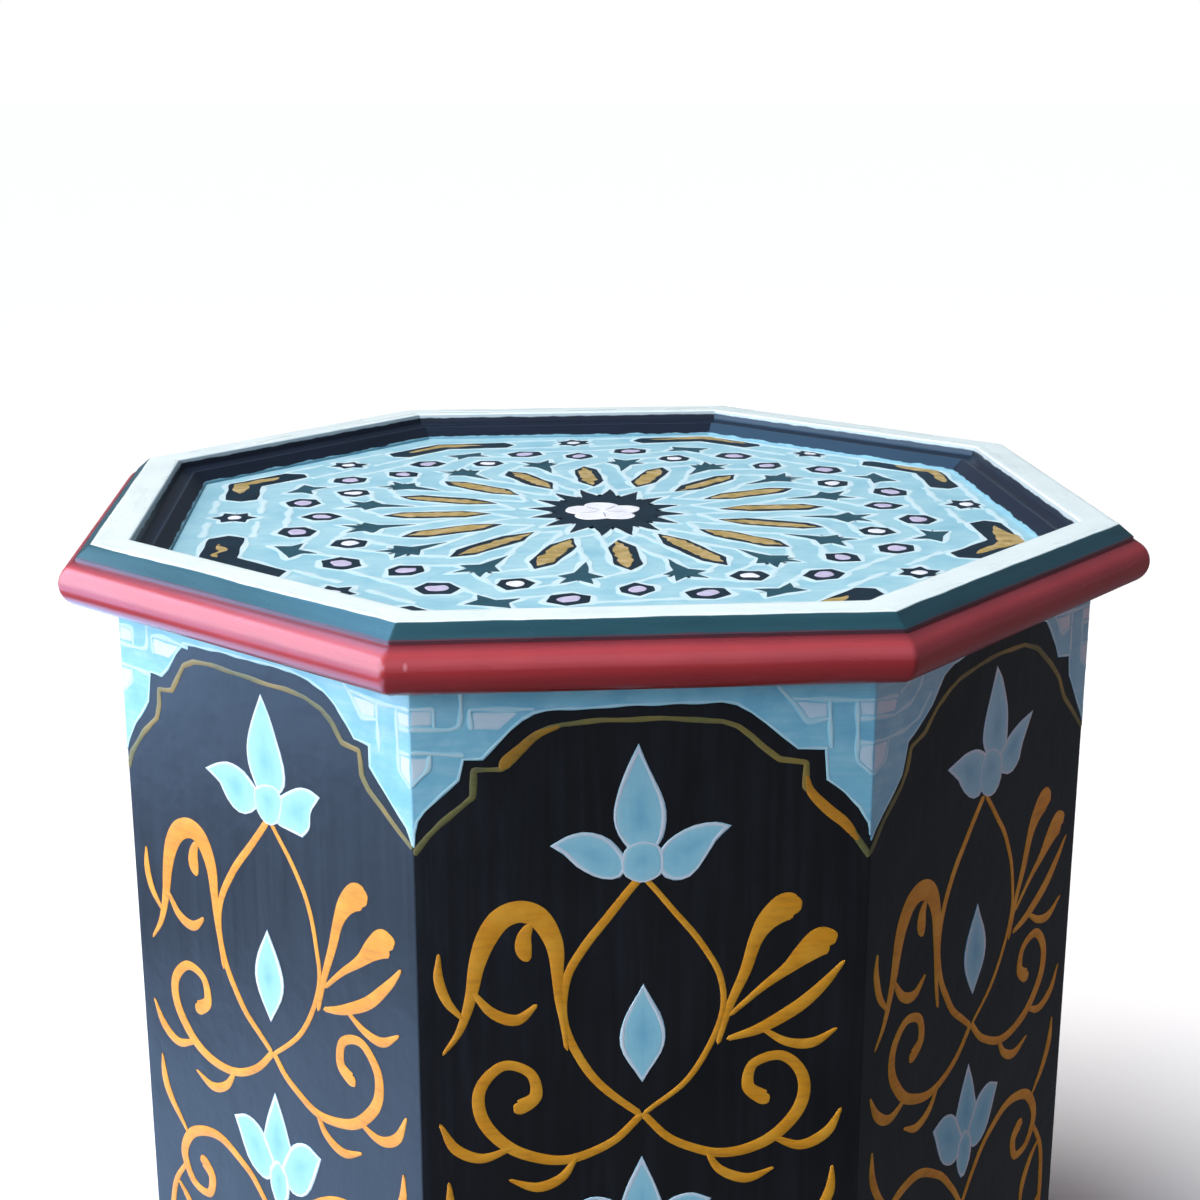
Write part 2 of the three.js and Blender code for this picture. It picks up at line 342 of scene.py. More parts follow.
def brushedPaint(name, look):
    # oil gloss laid on by hand over gesso: streaks along the stroke, uneven cover, a soft wet shine
    look = {**usualCoat, **look}
    material, tree = newMaterial(name)
    place = addNode(tree, "TexCoord").outputs["Object"]
    surface = addNode(tree, "UVMap", {"uv_map": uvName})
    run = addNode(tree, "Mapping", {"Scale": patternScale(*look["stroke"], metre)}, {"Vector": surface})
    strokes = addNode(tree, "TexNoise", {"Scale": 1.0, "Detail": 5.0, "Roughness": 0.62, "Distortion": 0.4},
                      {"Vector": run})
    patches = addNode(tree, "TexNoise", {"Scale": patternScale(look["patch"]), "Detail": 4.0,
                                         "Roughness": 0.55}, {"Vector": place})
    specks = addNode(tree, "TexNoise", {"Scale": patternScale(gritSize), "Detail": 2.0}, {"Vector": place})
    thin = addNode(tree, "MapRange", {"From Min": 0.46, "From Max": 0.72, "To Max": look["streak"]},
                   {"Value": strokes})
    patchy = addNode(tree, "MapRange", {"From Min": 0.42, "From Max": 0.7, "To Max": look["uneven"]},
                     {"Value": patches})
    body, pale, deep = look["colours"]
    base = addNode(tree, "Mix", {"data_type": "RGBA", "A": body, "B": pale}, {"Factor": thin})
    colour = addNode(tree, "Mix", {"data_type": "RGBA", "B": deep}, {"Factor": patchy, "A": base})
    shine = addNode(tree, "MapRange", {"To Min": look["gloss"][0], "To Max": look["gloss"][1]},
                    {"Value": strokes})
    relief = addNode(tree, "Bump", {"Strength": look["relief"], "Distance": 0.00025}, {"Height": strokes})
    planed = addNode(tree, "Bump", {"Strength": look["sway"], "Distance": 0.002},
                     {"Height": patches, "Normal": relief})
    fine = addNode(tree, "Bump", {"Strength": 0.12, "Distance": 0.0001}, {"Height": specks, "Normal": planed})
    gloss = {**oilGloss, "Specular IOR Level": look["specular"]}
    finishMaterial(tree, gloss, {"Base Color": colour, "Roughness": shine, "Normal": fine})
    return material


def brushedLine(name, look):
    # a line drawn with a loaded brush: full paint along its middle, dragged thin and ragged at its edges
    material, tree = newMaterial(name)
    surface = addNode(tree, "UVMap", {"uv_map": uvName})
    place = addNode(tree, "TexCoord").outputs["Object"]
    run = addNode(tree, "Mapping", {"Scale": (patternScale(look["drag"]), 3.0, 1.0)}, {"Vector": surface})
    drag = addNode(tree, "TexNoise", {"Scale": 1.0, "Detail": 4.0, "Roughness": 0.65}, {"Vector": run})
    grit = addNode(tree, "TexNoise", {"Scale": patternScale(look["grit"]), "Detail": 3.0, "Roughness": 0.6},
                   {"Vector": place})
    split = addNode(tree, "SeparateXYZ", None, {"Vector": surface})
    sway = addNode(tree, "MapRange", {"From Min": 0.3, "From Max": 0.7, "To Min": -look["ragged"],
                                      "To Max": look["ragged"]}, {"Value": drag})
    cover = addNode(tree, "Math", {"operation": "ADD"}, {0: split.outputs["Y"], 1: sway})
    start, end = look["edge"]
    full = addNode(tree, "MapRange", {"From Min": start, "From Max": end, "To Max": look["cover"]},
                   {"Value": cover})
    under, underLight, body, tint = look["colours"]
    below = addNode(tree, "Mix", {"data_type": "RGBA", "A": under, "B": underLight}, {"Factor": grit})
    above = addNode(tree, "Mix", {"data_type": "RGBA", "A": body, "B": tint}, {"Factor": grit})
    colour = addNode(tree, "Mix", {"data_type": "RGBA"}, {"Factor": full, "A": below, "B": above})
    shine = addNode(tree, "MapRange", {"To Min": 0.28, "To Max": 0.46}, {"Value": drag})
    relief = addNode(tree, "Bump", {"Strength": 0.3, "Distance": 0.0002}, {"Height": drag})
    finishMaterial(tree, oilGloss, {"Base Color": colour, "Roughness": shine, "Normal": relief})
    return material


def rawCedar(name, grainAxis):
    # planed cedar, no finish: growth rings about 2.4 mm apart, drawn out along the board, pale and dry
    material, tree = newMaterial(name)
    place = addNode(tree, "TexCoord").outputs["Object"]
    stretch = [14.0 if axis == grainAxis else 420.0 for axis in range(3)]
    run = addNode(tree, "Mapping", {"Scale": stretch}, {"Vector": place})
    rings = addNode(tree, "TexNoise", {"Scale": 1.0, "Detail": 4.0, "Roughness": 0.6, "Distortion": 0.8},
                    {"Vector": run})
    broad = addNode(tree, "TexNoise", {"Scale": 18.0, "Detail": 3.0}, {"Vector": place})
    light = addNode(tree, "Mix", {"data_type": "RGBA", "A": "#b98a5c", "B": "#8a5a36"}, {"Factor": rings})
    toned = addNode(tree, "Mix", {"data_type": "RGBA", "blend_type": "MULTIPLY", "B": "#d8b48e"},
                    {"Factor": broad, "A": light})
    relief = addNode(tree, "Bump", {"Strength": 0.35, "Distance": 0.0003}, {"Height": rings})
    rough = addNode(tree, "MapRange", {"To Min": 0.62, "To Max": 0.85}, {"Value": rings})
    finishMaterial(tree, {"IOR": 1.5}, {"Base Color": toned, "Roughness": rough, "Normal": relief})
    return material


def zincSteel(name):
    # bright zinc plate on steel: a grey metal with cloudy spangle and fine turning marks
    material, tree = newMaterial(name)
    place = addNode(tree, "TexCoord").outputs["Object"]
    cloud = addNode(tree, "TexNoise", {"Scale": 600.0, "Detail": 3.0}, {"Vector": place})
    tint = addNode(tree, "Mix", {"data_type": "RGBA", "A": "#b9bcc0", "B": "#8d9094"}, {"Factor": cloud})
    rough = addNode(tree, "MapRange", {"To Min": 0.22, "To Max": 0.42}, {"Value": cloud})
    relief = addNode(tree, "Bump", {"Strength": 0.1, "Distance": 0.0001}, {"Height": cloud})
    finishMaterial(tree, {"Metallic": 1.0}, {"Base Color": tint, "Roughness": rough, "Normal": relief})
    return material


def petalPaint(name):
    # mid blue oil petal: deep colour left thick in the middle, dragged out pale towards its outline
    material, tree = newMaterial(name)
    surface = addNode(tree, "UVMap", {"uv_map": uvName})
    place = addNode(tree, "TexCoord").outputs["Object"]
    drag = addNode(tree, "Mapping", {"Scale": patternScale(2.2, 2.2, 12)}, {"Vector": place})
    streaks = addNode(tree, "TexNoise", {"Scale": 1.0, "Detail": 4.0, "Roughness": 0.6}, {"Vector": drag})
    blots = addNode(tree, "TexNoise", {"Scale": patternScale(9), "Detail": 3.0}, {"Vector": place})
    split = addNode(tree, "SeparateXYZ", None, {"Vector": surface})
    sway = addNode(tree, "MapRange", {"From Min": 0.3, "From Max": 0.7, "To Min": -0.15, "To Max": 0.15},
                   {"Value": blots})
    inward = addNode(tree, "Math", {"operation": "ADD"}, {0: split.outputs["Y"], 1: sway})
    middle = addNode(tree, "MapRange", {"From Min": 0.5, "From Max": 1.0, "To Max": 0.6}, {"Value": inward})
    outer = addNode(tree, "MapRange", {"From Min": 0.45, "From Max": 0.1, "To Max": 0.7}, {"Value": inward})
    body = addNode(tree, "Mix", {"data_type": "RGBA", "A": "#82c5e2", "B": "#94d0e8"}, {"Factor": streaks})
    deep = addNode(tree, "Mix", {"data_type": "RGBA", "B": "#62abd2"}, {"Factor": middle, "A": body})
    colour = addNode(tree, "Mix", {"data_type": "RGBA", "B": "#a6d3e4"}, {"Factor": outer, "A": deep})
    shine = addNode(tree, "MapRange", {"To Min": 0.26, "To Max": 0.42}, {"Value": streaks})
    relief = addNode(tree, "Bump", {"Strength": 0.3, "Distance": 0.00025}, {"Height": streaks})
    finishMaterial(tree, oilGloss, {"Base Color": colour, "Roughness": shine, "Normal": relief})
    return material


cedarAlong = rawCedar("raw cedar, grain across the stool", 0)
cedarUp = rawCedar("raw cedar, grain upright", 2)
zinc = zincSteel("zinc plated steel")
petalBlue = petalPaint("blue oil petal")

# brushed coats: body, thin and deep colour, and the stroke's length and width and a patch's size in mm
smallDab = {"stroke": (6, 1.6), "patch": 6, "gloss": (0.3, 0.45)}
lick = {"stroke": (9, 1.2), "patch": 12, "streak": 0.9, "uneven": 0.8}
trayGroundPaint = brushedPaint("pale turquoise oil gloss", {
    "colours": ("#9dcfe0", "#bddfe9", "#89c2d8"), "stroke": (26, 3.4), "patch": 20, "streak": 0.9,
    "uneven": 0.9, "gloss": (0.26, 0.44), "relief": 0.3})
blackCellPaint = brushedPaint("black oil gloss", {
    "colours": ("#152836", "#284454", "#101c28"), "stroke": (16, 2.2), "patch": 18, "streak": 0.5,
    "gloss": (0.28, 0.45), "relief": 0.35, "specular": 0.25})
slateCellPaint = brushedPaint("slate teal oil gloss", {
    "colours": ("#27505f", "#3a6572", "#1f4250"), "stroke": (14, 2.2), "patch": 14, "streak": 0.6,
    "uneven": 0.7, "gloss": (0.28, 0.45), "relief": 0.35, "specular": 0.3})
goldPaint = brushedPaint("ochre gold oil", {
    "colours": ("#ab9453", "#78694c", "#d0bb92"), "stroke": (9, 1.8), "patch": 6, "streak": 0.9,
    "uneven": 0.7, "gloss": (0.3, 0.5), "relief": 0.6})
lilacPaint = brushedPaint("lilac white oil", {"colours": ("#c0bcdc", "#dcdcf0", "#b4a8ca"), **smallDab})
whiteDotPaint = brushedPaint("white oil dot", {"colours": ("#eef3fd", "#dfe9f6", "#d8d8ea"), **smallDab})
veinPaint = brushedPaint("grey oil vein", {
    "colours": ("#9aa2b4", "#c4c8d6", "#868ca0"), **smallDab, "stroke": (6, 1)})
panelPaint = brushedPaint("black gloss on cedar", {
    "colours": ("#121216", "#1c2029", "#0b0b0e"), "stroke": (90, 5), "patch": 45, "streak": 0.6,
    "uneven": 0.8, "gloss": (0.26, 0.44), "relief": 0.25, "sway": 0.5, "specular": 0.45})
strapPaint = brushedPaint("mid blue oil gloss", {
    "colours": ("#80c5e2", "#a2d2ea", "#6bb2d6"), "stroke": (22, 3.0), "patch": 16, "uneven": 0.8,
    "gloss": (0.28, 0.42), "relief": 0.35})
panelGoldPaint = brushedPaint("dull ochre line", {
    "colours": ("#67693f", "#555945", "#8f7e3e"), "stroke": (14, 1.3), "patch": 34, "streak": 0.9,
    "uneven": 0.85})
lickPaint = brushedPaint("burnt ochre lick", {"colours": ("#b07c24", "#8f6a28", "#c48a24"), **lick})
giltPaint = brushedPaint("dusky ochre lick", {"colours": ("#917024", "#6f6434", "#a07a22"), **lick})
scrollGoldPaint = brushedPaint("bright ochre scroll", {
    "colours": ("#cc8f1e", "#ac781e", "#dba636"), "stroke": (14, 2), "patch": 14, "uneven": 0.7})

# dragged lines: the ground's two colours, the line's two, and the brush's drag and the grit in mm
trayLinePaint = brushedLine("white oil line on turquoise", {
    "colours": ("#a2d2e2", "#b6dce7", "#daeef7", "#c0e1ed"), "drag": 8, "grit": 5, "ragged": 0.3,
    "edge": (-0.05, 0.7), "cover": 0.95})
panelLinePaint = brushedLine("thin white oil line on blue", {
    "colours": ("#7cc5e4", "#8fd0e8", "#d6eaf4", "#b4dcec"), "drag": 9, "grit": 6, "ragged": 0.5,
    "edge": (0.05, 0.95), "cover": 0.75})
panelLilacPaint = brushedLine("thin lilac oil wash on blue", {
    "colours": ("#8cc6e0", "#a8d2ea", "#cde2f3", "#b4d4ea"), "drag": 12, "grit": 5, "ragged": 0.5,
    "edge": (-0.2, 0.8), "cover": 0.92})
petalLinePaint = brushedLine("lavender white oil line", {
    "colours": ("#84c2de", "#98cce4", "#d6e0f0", "#bfd3e8"), "drag": 8, "grit": 5, "ragged": 0.4,
    "edge": (-0.15, 0.65), "cover": 0.92})
print("materials mixed:", len(bpy.data.materials))

# Rim moulding: flat, bevel, quirk and half-round nose

rim = {
    "innerRound": 0.7, "roundSteps": 5,
    "flatSteps": 8, "arris": 220.0, "arrisRound": 1.0,
    "bevelFoot": (226.3, 454.6), "bevelSteps": 6,
    "noseCentre": (223.8, 443.7), "noseRadius": 9.7, "noseSteps": 30,
    "cornerRound": (0.4, 1.2, 2.2, 4.5),  # at the inner edge, beside the arris, at the quirk, at the nose
    "besideArris": 2,
    "straightSteps": 40, "arcSteps": 7,
}


def rimProfile():
    # closed section: inner wall, edge as a quarter arc, flat, arris as the quadratic curve
    # (1 - t) ** 2 * back + 2 t (1 - t) * arris + t ** 2 * down, bevel, quirk, nose as an arc, underside
    inner, top, under = rimLow[0], rimHigh[2], rimLow[2]
    r = rim["innerRound"]
    a = np.radians(np.linspace(180, 90, rim["roundSteps"]))
    edge = np.stack([inner + r + r * np.cos(a), top - r + r * np.sin(a)], 1)
    foot = np.array(rim["bevelFoot"])
    arris = np.array([rim["arris"], top])
    back = arris - [rim["arrisRound"], 0]
    down = arris + (foot - arris) / np.linalg.norm(foot - arris) * rim["arrisRound"]
    t = np.linspace(0, 1, rim["roundSteps"])[:, None]
    crest = (1 - t) ** 2 * back + 2 * t * (1 - t) * arris + t ** 2 * down
    flat = np.linspace(edge[-1], crest[0], rim["flatSteps"])[1:-1]
    bevel = np.linspace(crest[-1], foot, rim["bevelSteps"])[1:]
    centre, radius = np.array(rim["noseCentre"]), rim["noseRadius"]
    start = math.acos((foot[0] - centre[0]) / radius)
    b = np.linspace(start, -math.pi / 2, rim["noseSteps"])
    nose = centre + radius * np.stack([np.cos(b), np.sin(b)], 1)
    return np.vstack([[[inner, under]], edge, flat, crest, bevel, nose])


def sweepSide(side, profile, cornerRound, straightSteps, arcSteps):
    # along one side each profile point (out, z) runs straight to (out - r) tan 22.5 deg, then turns
    # on an arc of radius r as far as the mitre plane
    out, z = profile[:, 0][None, :], profile[:, 1][None, :]
    r = np.asarray(cornerRound, float)[None, :]
    ends = np.ones(arcSteps)
    share = np.concatenate([-ends, np.linspace(-1, 1, straightSteps + 1), ends])[:, None]
    turn = np.concatenate([np.linspace(halfAngle, 0, arcSteps, endpoint=False), np.zeros(straightSteps + 1),
                           np.linspace(0, halfAngle, arcSteps + 1)[1:]])[:, None]
    along = share * (out - r) * halfTan + np.sign(share) * r * np.sin(turn)
    reach = out - r + r * np.cos(turn)
    travel = runLengths(profile)[1][None, :] / metre
    uv = np.stack([along / metre + side * sideShift, np.broadcast_to(travel, along.shape)], -1)
    grid = sidePoint(side, reach, along, np.broadcast_to(z, reach.shape))
    return gridPart(grid, uv, capEnds=True)


def profileTravel(profile, point):
    # distance along the profile, in metres, of its point nearest to the given one
    nearest = np.argmin(np.linalg.norm(profile - np.array(point), axis=1))
    return float(runLengths(profile)[1][nearest]) / metre


rimSection = rimProfile()
arrisMark = profileTravel(rimSection, (rim["arris"], stoolTop))
quirkMark = profileTravel(rimSection, rim["bevelFoot"])
bellyMark = profileTravel(rimSection, np.add(rim["noseCentre"], (rim["noseRadius"], 0)))
rimCoats = [  # body and streak colour, the mark where the coat starts, and half the width that it blends over
    ("#eefcff", "#e2f6fb", None, 0.0),
    ("#28515e", "#1d3e4a", arrisMark + 0.0001, 0.0003),
    # painted shade: a dark purple line down the quirk groove
    ("#5c3440", "#42303c", quirkMark - 0.0004, 0.0003),
    # painted shade: darker red along the top of the nose, under the quirk
    ("#7a2f38", "#6e2832", quirkMark + 0.0013, 0.0004),
    ("#ac444c", "#9e3a42", quirkMark + 0.0046, 0.0020),
    # painted shade: darker red over the lower, downward-facing half of the nose
    ("#a53236", "#8f2a30", bellyMark - 0.0016, 0.0005),
]
wornSpot = {"place": (sideShift - 0.088, quirkMark + 0.0109, 0.0), "size": (1, 2, metre), "colour": "#c8848e"}


def rimPaint():
    # three coats of oil gloss that meet by eye: pale blue-white flat, bottle teal bevel, madder red nose;
    # painted shade darkens the quirk, the top of the nose and its lower half
    material, tree = newMaterial("rim oil gloss, pale, teal and red")
    place = addNode(tree, "TexCoord").outputs["Object"]
    surface = addNode(tree, "UVMap", {"uv_map": uvName})
    run = addNode(tree, "Mapping", {"Scale": patternScale(60, 3.6, metre)}, {"Vector": surface})
    strokes = addNode(tree, "TexNoise", {"Scale": 1.0, "Detail": 1.5, "Roughness": 0.5}, {"Vector": run})
    slow = addNode(tree, "TexNoise", {"Scale": patternScale(30), "Detail": 3.0}, {"Vector": surface})
    patches = addNode(tree, "TexNoise", {"Scale": patternScale(26), "Detail": 2.0}, {"Vector": place})
    split = addNode(tree, "SeparateXYZ", None, {"Vector": surface})
    sway = addNode(tree, "MapRange", {"To Min": -0.0009, "To Max": 0.0009}, {"Value": slow})
    level = addNode(tree, "Math", {"operation": "ADD"}, {0: split.outputs["Y"], 1: sway})
    current = None
    for body, streak, edge, blend in rimCoats:
        coat = addNode(tree, "Mix", {"data_type": "RGBA", "A": body, "B": streak}, {"Factor": strokes})
        if current is not None:
            mask = addNode(tree, "MapRange", {"From Min": edge - blend, "From Max": edge + blend},
                           {"Value": level})
            coat = addNode(tree, "Mix", {"data_type": "RGBA"}, {"Factor": mask, "A": current, "B": coat})
        current = coat
    shade = addNode(tree, "MapRange", {"From Min": 0.4, "From Max": 0.7, "To Max": 0.12}, {"Value": patches})
    toned = addNode(tree, "Mix", {"data_type": "RGBA", "blend_type": "MULTIPLY", "B": "#a8b4b8"},
                    {"Factor": shade, "A": current})
    swells = addNode(tree, "Mapping", {"Scale": patternScale(40, 7, metre)}, {"Vector": surface})
    soft = addNode(tree, "TexNoise", {"Scale": 1.0, "Detail": 0.5}, {"Vector": swells})
    shine = addNode(tree, "MapRange", {"To Min": 0.2, "To Max": 0.38}, {"Value": soft})
    relief = addNode(tree, "Bump", {"Strength": 0.15, "Distance": 0.0004}, {"Height": soft})
    off = addNode(tree, "VectorMath", {"operation": "SUBTRACT", 1: wornSpot["place"]}, {0: surface})
    shrunk = addNode(tree, "VectorMath", {"operation": "MULTIPLY", 1: patternScale(*wornSpot["size"])},
                     {0: off})
    away = addNode(tree, "VectorMath", {"operation": "LENGTH"}, {0: shrunk})
    bare = addNode(tree, "MapRange", {"From Min": 1.0, "From Max": 0.4, "To Max": 0.7}, {"Value": away})
    nicked = addNode(tree, "Mix", {"data_type": "RGBA", "B": wornSpot["colour"]},
                     {"Factor": bare, "A": toned})
    gloss = {"IOR": 1.5, "Coat Weight": 0.15, "Coat Roughness": 0.1}
    finishMaterial(tree, gloss, {"Base Color": nicked, "Roughness": shine, "Normal": relief})
    return material


rimGloss = rimPaint()
rimRound = np.interp(rimSection[:, 0], [rimLow[0], rim["arris"] - rim["besideArris"], rim["bevelFoot"][0],
                                        rimHigh[0]], rim["cornerRound"])
for side in range(1, sideCount + 1):
    part = sweepSide(side, rimSection, rimRound, rim["straightSteps"], rim["arcSteps"])
    makePiece(f"rimMoulding_{side}", [part], [rimGloss], [f"rim_moulding_{side}"])
print("rim mouldings:", sideCount)

# Cove strip: leaning wall, hollow, small fillet and a slope down to the tray floor

cove = {
    "wallFoot": (202.7, 456.4), "hollowEnd": (197.7, 454.2), "fillet": (196.9, 454.2), "toeTop": 449.4,
    "hollowSteps": 8, "slopeSteps": 6, "edgeRound": 0.25, "straightSteps": 40, "arcSteps": 3,
}


def coveProfile():
    # closed section from the back top: wall, quarter-ellipse hollow, fillet, slope, toe, base
    back, toe, base, top = coveHigh[0], coveLow[0], coveLow[2], coveHigh[2]
    foot, end = np.array(cove["wallFoot"]), np.array(cove["hollowEnd"])
    a = np.linspace(0, math.pi / 2, cove["hollowSteps"])
    hollow = np.stack([end[0] + (foot[0] - end[0]) * np.cos(a), foot[1] - (foot[1] - end[1]) * np.sin(a)], 1)
    slope = np.linspace(cove["fillet"], (toe, cove["toeTop"]), cove["slopeSteps"])
    return np.vstack([[[back, base]], [[back, top]], hollow, slope, [[toe, base]]])


coveSection = coveProfile()
topMark = profileTravel(coveSection, (coveHigh[0], coveHigh[2]))
filletMark = profileTravel(coveSection, cove["hollowEnd"])
toeMark = profileTravel(coveSection, (coveLow[0], cove["toeTop"]))


def covePaint():
    # near black oil gloss, the rim's white lapping over its top edge and the ground's blue up its foot, and a
    # painted highlight along the fillet's ridge
    material, tree = newMaterial("cove oil gloss, slate black")
    surface = addNode(tree, "UVMap", {"uv_map": uvName})
    run = addNode(tree, "Mapping", {"Scale": patternScale(40, 1.8, metre)}, {"Vector": surface})
    strokes = addNode(tree, "TexNoise", {"Scale": 1.0, "Detail": 5.0, "Roughness": 0.6}, {"Vector": run})
    slow = addNode(tree, "TexNoise", {"Scale": patternScale(14), "Detail": 4.0}, {"Vector": surface})
    depth = addNode(tree, "SeparateXYZ", None, {"Vector": surface}).outputs["Y"]
    sway = addNode(tree, "MapRange", {"To Min": -0.0011, "To Max": 0.0011}, {"Value": slow})
    level = addNode(tree, "Math", {"operation": "ADD"}, {0: depth, 1: sway})
    dark = addNode(tree, "Mix", {"data_type": "RGBA", "A": "#11161f", "B": "#222c40"}, {"Factor": strokes})
    lap = addNode(tree, "MapRange", {"From Min": topMark + 0.0013, "From Max": topMark + 0.0019},
                  {"Value": level})
    white = addNode(tree, "Mix", {"data_type": "RGBA", "A": "#a9bcc6"}, {"Factor": lap, "B": dark})
    # painted highlight: a pale slate line along the fillet's ridge
    below = addNode(tree, "Math", {"operation": "SUBTRACT", 1: filletMark + 0.0004}, {0: depth})
    away = addNode(tree, "Math", {"operation": "ABSOLUTE"}, {0: below})
    ridge = addNode(tree, "MapRange", {"From Min": 0.0009, "From Max": 0.0002, "To Max": 0.16},
                    {"Value": away})
    ridgeHighlight = addNode(tree, "Mix", {"data_type": "RGBA", "B": "#5d6f80"}, {"Factor": ridge, "A": white})
    quick = addNode(tree, "TexNoise", {"Scale": patternScale(11), "Detail": 2.0, "Roughness": 0.5},
                    {"Vector": surface})
    climb = addNode(tree, "MapRange", {"From Min": 0.35, "From Max": 0.7, "To Min": -0.0007,
                                       "To Max": 0.0005}, {"Value": quick})
    footLevel = addNode(tree, "Math", {"operation": "ADD"}, {0: depth, 1: climb})
    footLap = addNode(tree, "MapRange", {"From Min": toeMark - 0.0007, "From Max": toeMark - 0.0001},
                      {"Value": footLevel})
    colour = addNode(tree, "Mix", {"data_type": "RGBA", "B": "#84b6cb"}, {"Factor": footLap, "A": ridgeHighlight})
    shine = addNode(tree, "MapRange", {"To Min": 0.24, "To Max": 0.42}, {"Value": strokes})
    relief = addNode(tree, "Bump", {"Strength": 0.3, "Distance": 0.0002}, {"Height": strokes})
    finishMaterial(tree, oilGloss, {"Base Color": colour, "Roughness": shine, "Normal": relief})
    return material


coveGloss = covePaint()
coveRound = np.full(len(coveSection), cove["edgeRound"])
for side in range(1, sideCount + 1):
    part = sweepSide(side, coveSection, coveRound, cove["straightSteps"], cove["arcSteps"])
    makePiece(f"coveStrip_{side}", [part], [coveGloss], [f"cove_strip_{side}"])
print("cove strips:", sideCount)

# Side panels: mitred boards with a stepped arch cut into the foot

panel = {
    "cornerRound": 1.5, "arris": 0.4, "arrisBreak": 0.3, "frontSteps": 10, "roundSteps": 4,
    "rays": 60, "pastCorner": 1e-4,  # how many, and the angle of the one just past the top corner
    "arch": {"halfWidth": 56, "jamb": 66, "step": 8, "rise": 9, "lobe": (30, 40), "shoulder": 6, "point": 15,
             "lobeSteps": 15, "hollowSteps": 9, "leastHollow": 1.5, "tipGrow": 0.6, "runSteps": 4},
}
archFocus = 20.0  # height of the point that sees the whole opening
panelRoundStart = (panelFace - panel["cornerRound"]) * halfTan
panelHalf = panelRoundStart + panel["cornerRound"] * halfAngle  # unrolled half width of the face
panelBackHalf = panelBack * halfTan


def onSide(side):
    # maps (along, height, coat) to the side's face, rolled round its corner: past the flat the
    # normal turns by (along - flat) / radius
    def place(points):
        along, height, coat = points[:, 0], points[:, 1], points[:, 2]
        turn = np.clip((np.abs(along) - panelRoundStart) / panel["cornerRound"], 0, halfAngle)
        flat = np.minimum(np.abs(along), panelRoundStart)
        radius = panel["cornerRound"] + coat
        out = panelFace - panel["cornerRound"] + radius * np.cos(turn)
        run = np.sign(along) * (flat + radius * np.sin(turn))
        return sidePoint(side, out, run, height)
    return place


def archHalf(grow=0.0):
    # right half of the foot opening from the floor up: jamb, step, riser, quarter-ellipse lobe,
    # shoulder, and a hollow quarter arc to the point; grow moves every edge out into the wood
    a = panel["arch"]
    width = a["halfWidth"] + grow
    inner = width - a["step"]
    jambTop = a["jamb"] + grow
    lobeFoot = max(a["jamb"] + a["rise"], jambTop + 1)
    shoulder = a["halfWidth"] - a["step"] - a["lobe"][0]
    crown = a["jamb"] + a["rise"] + a["lobe"][1] + grow
    hollowFoot = crown + a["shoulder"]
    t = np.linspace(0, math.pi / 2, a["lobeSteps"])
    lobe = np.stack([shoulder + grow + a["lobe"][0] * np.cos(t),
                     lobeFoot + (crown - lobeFoot) * np.sin(t)], 1)
    s = np.linspace(-math.pi / 2, -math.pi, a["hollowSteps"])
    bend = np.maximum([shoulder - grow, a["point"] - grow], a["leastHollow"])
    hollow = np.stack([shoulder + bend[0] * np.cos(s), hollowFoot + bend[1] + bend[1] * np.sin(s)], 1)
    jamb = [[width, 0], [width, a["jamb"] / 2], [width, jambTop], [inner, jambTop], [inner, lobeFoot]]
    tip = [[0, hollowFoot + a["point"] + grow * a["tipGrow"]]]
    return np.vstack([jamb, lobe[1:], [[shoulder + grow, hollowFoot]], hollow, tip])


def archLine(grow):
    # the whole outline from right foot to left foot, every run split into the same number of parts
    half = archHalf(grow)
    whole = np.vstack([half, (half * [-1, 1])[::-1][1:]])
    parts = panel["arch"]["runSteps"]
    place = np.arange((len(whole) - 1) * parts + 1) / parts
    return np.stack([np.interp(place, np.arange(len(whole)), whole[:, axis]) for axis in (0, 1)], 1)


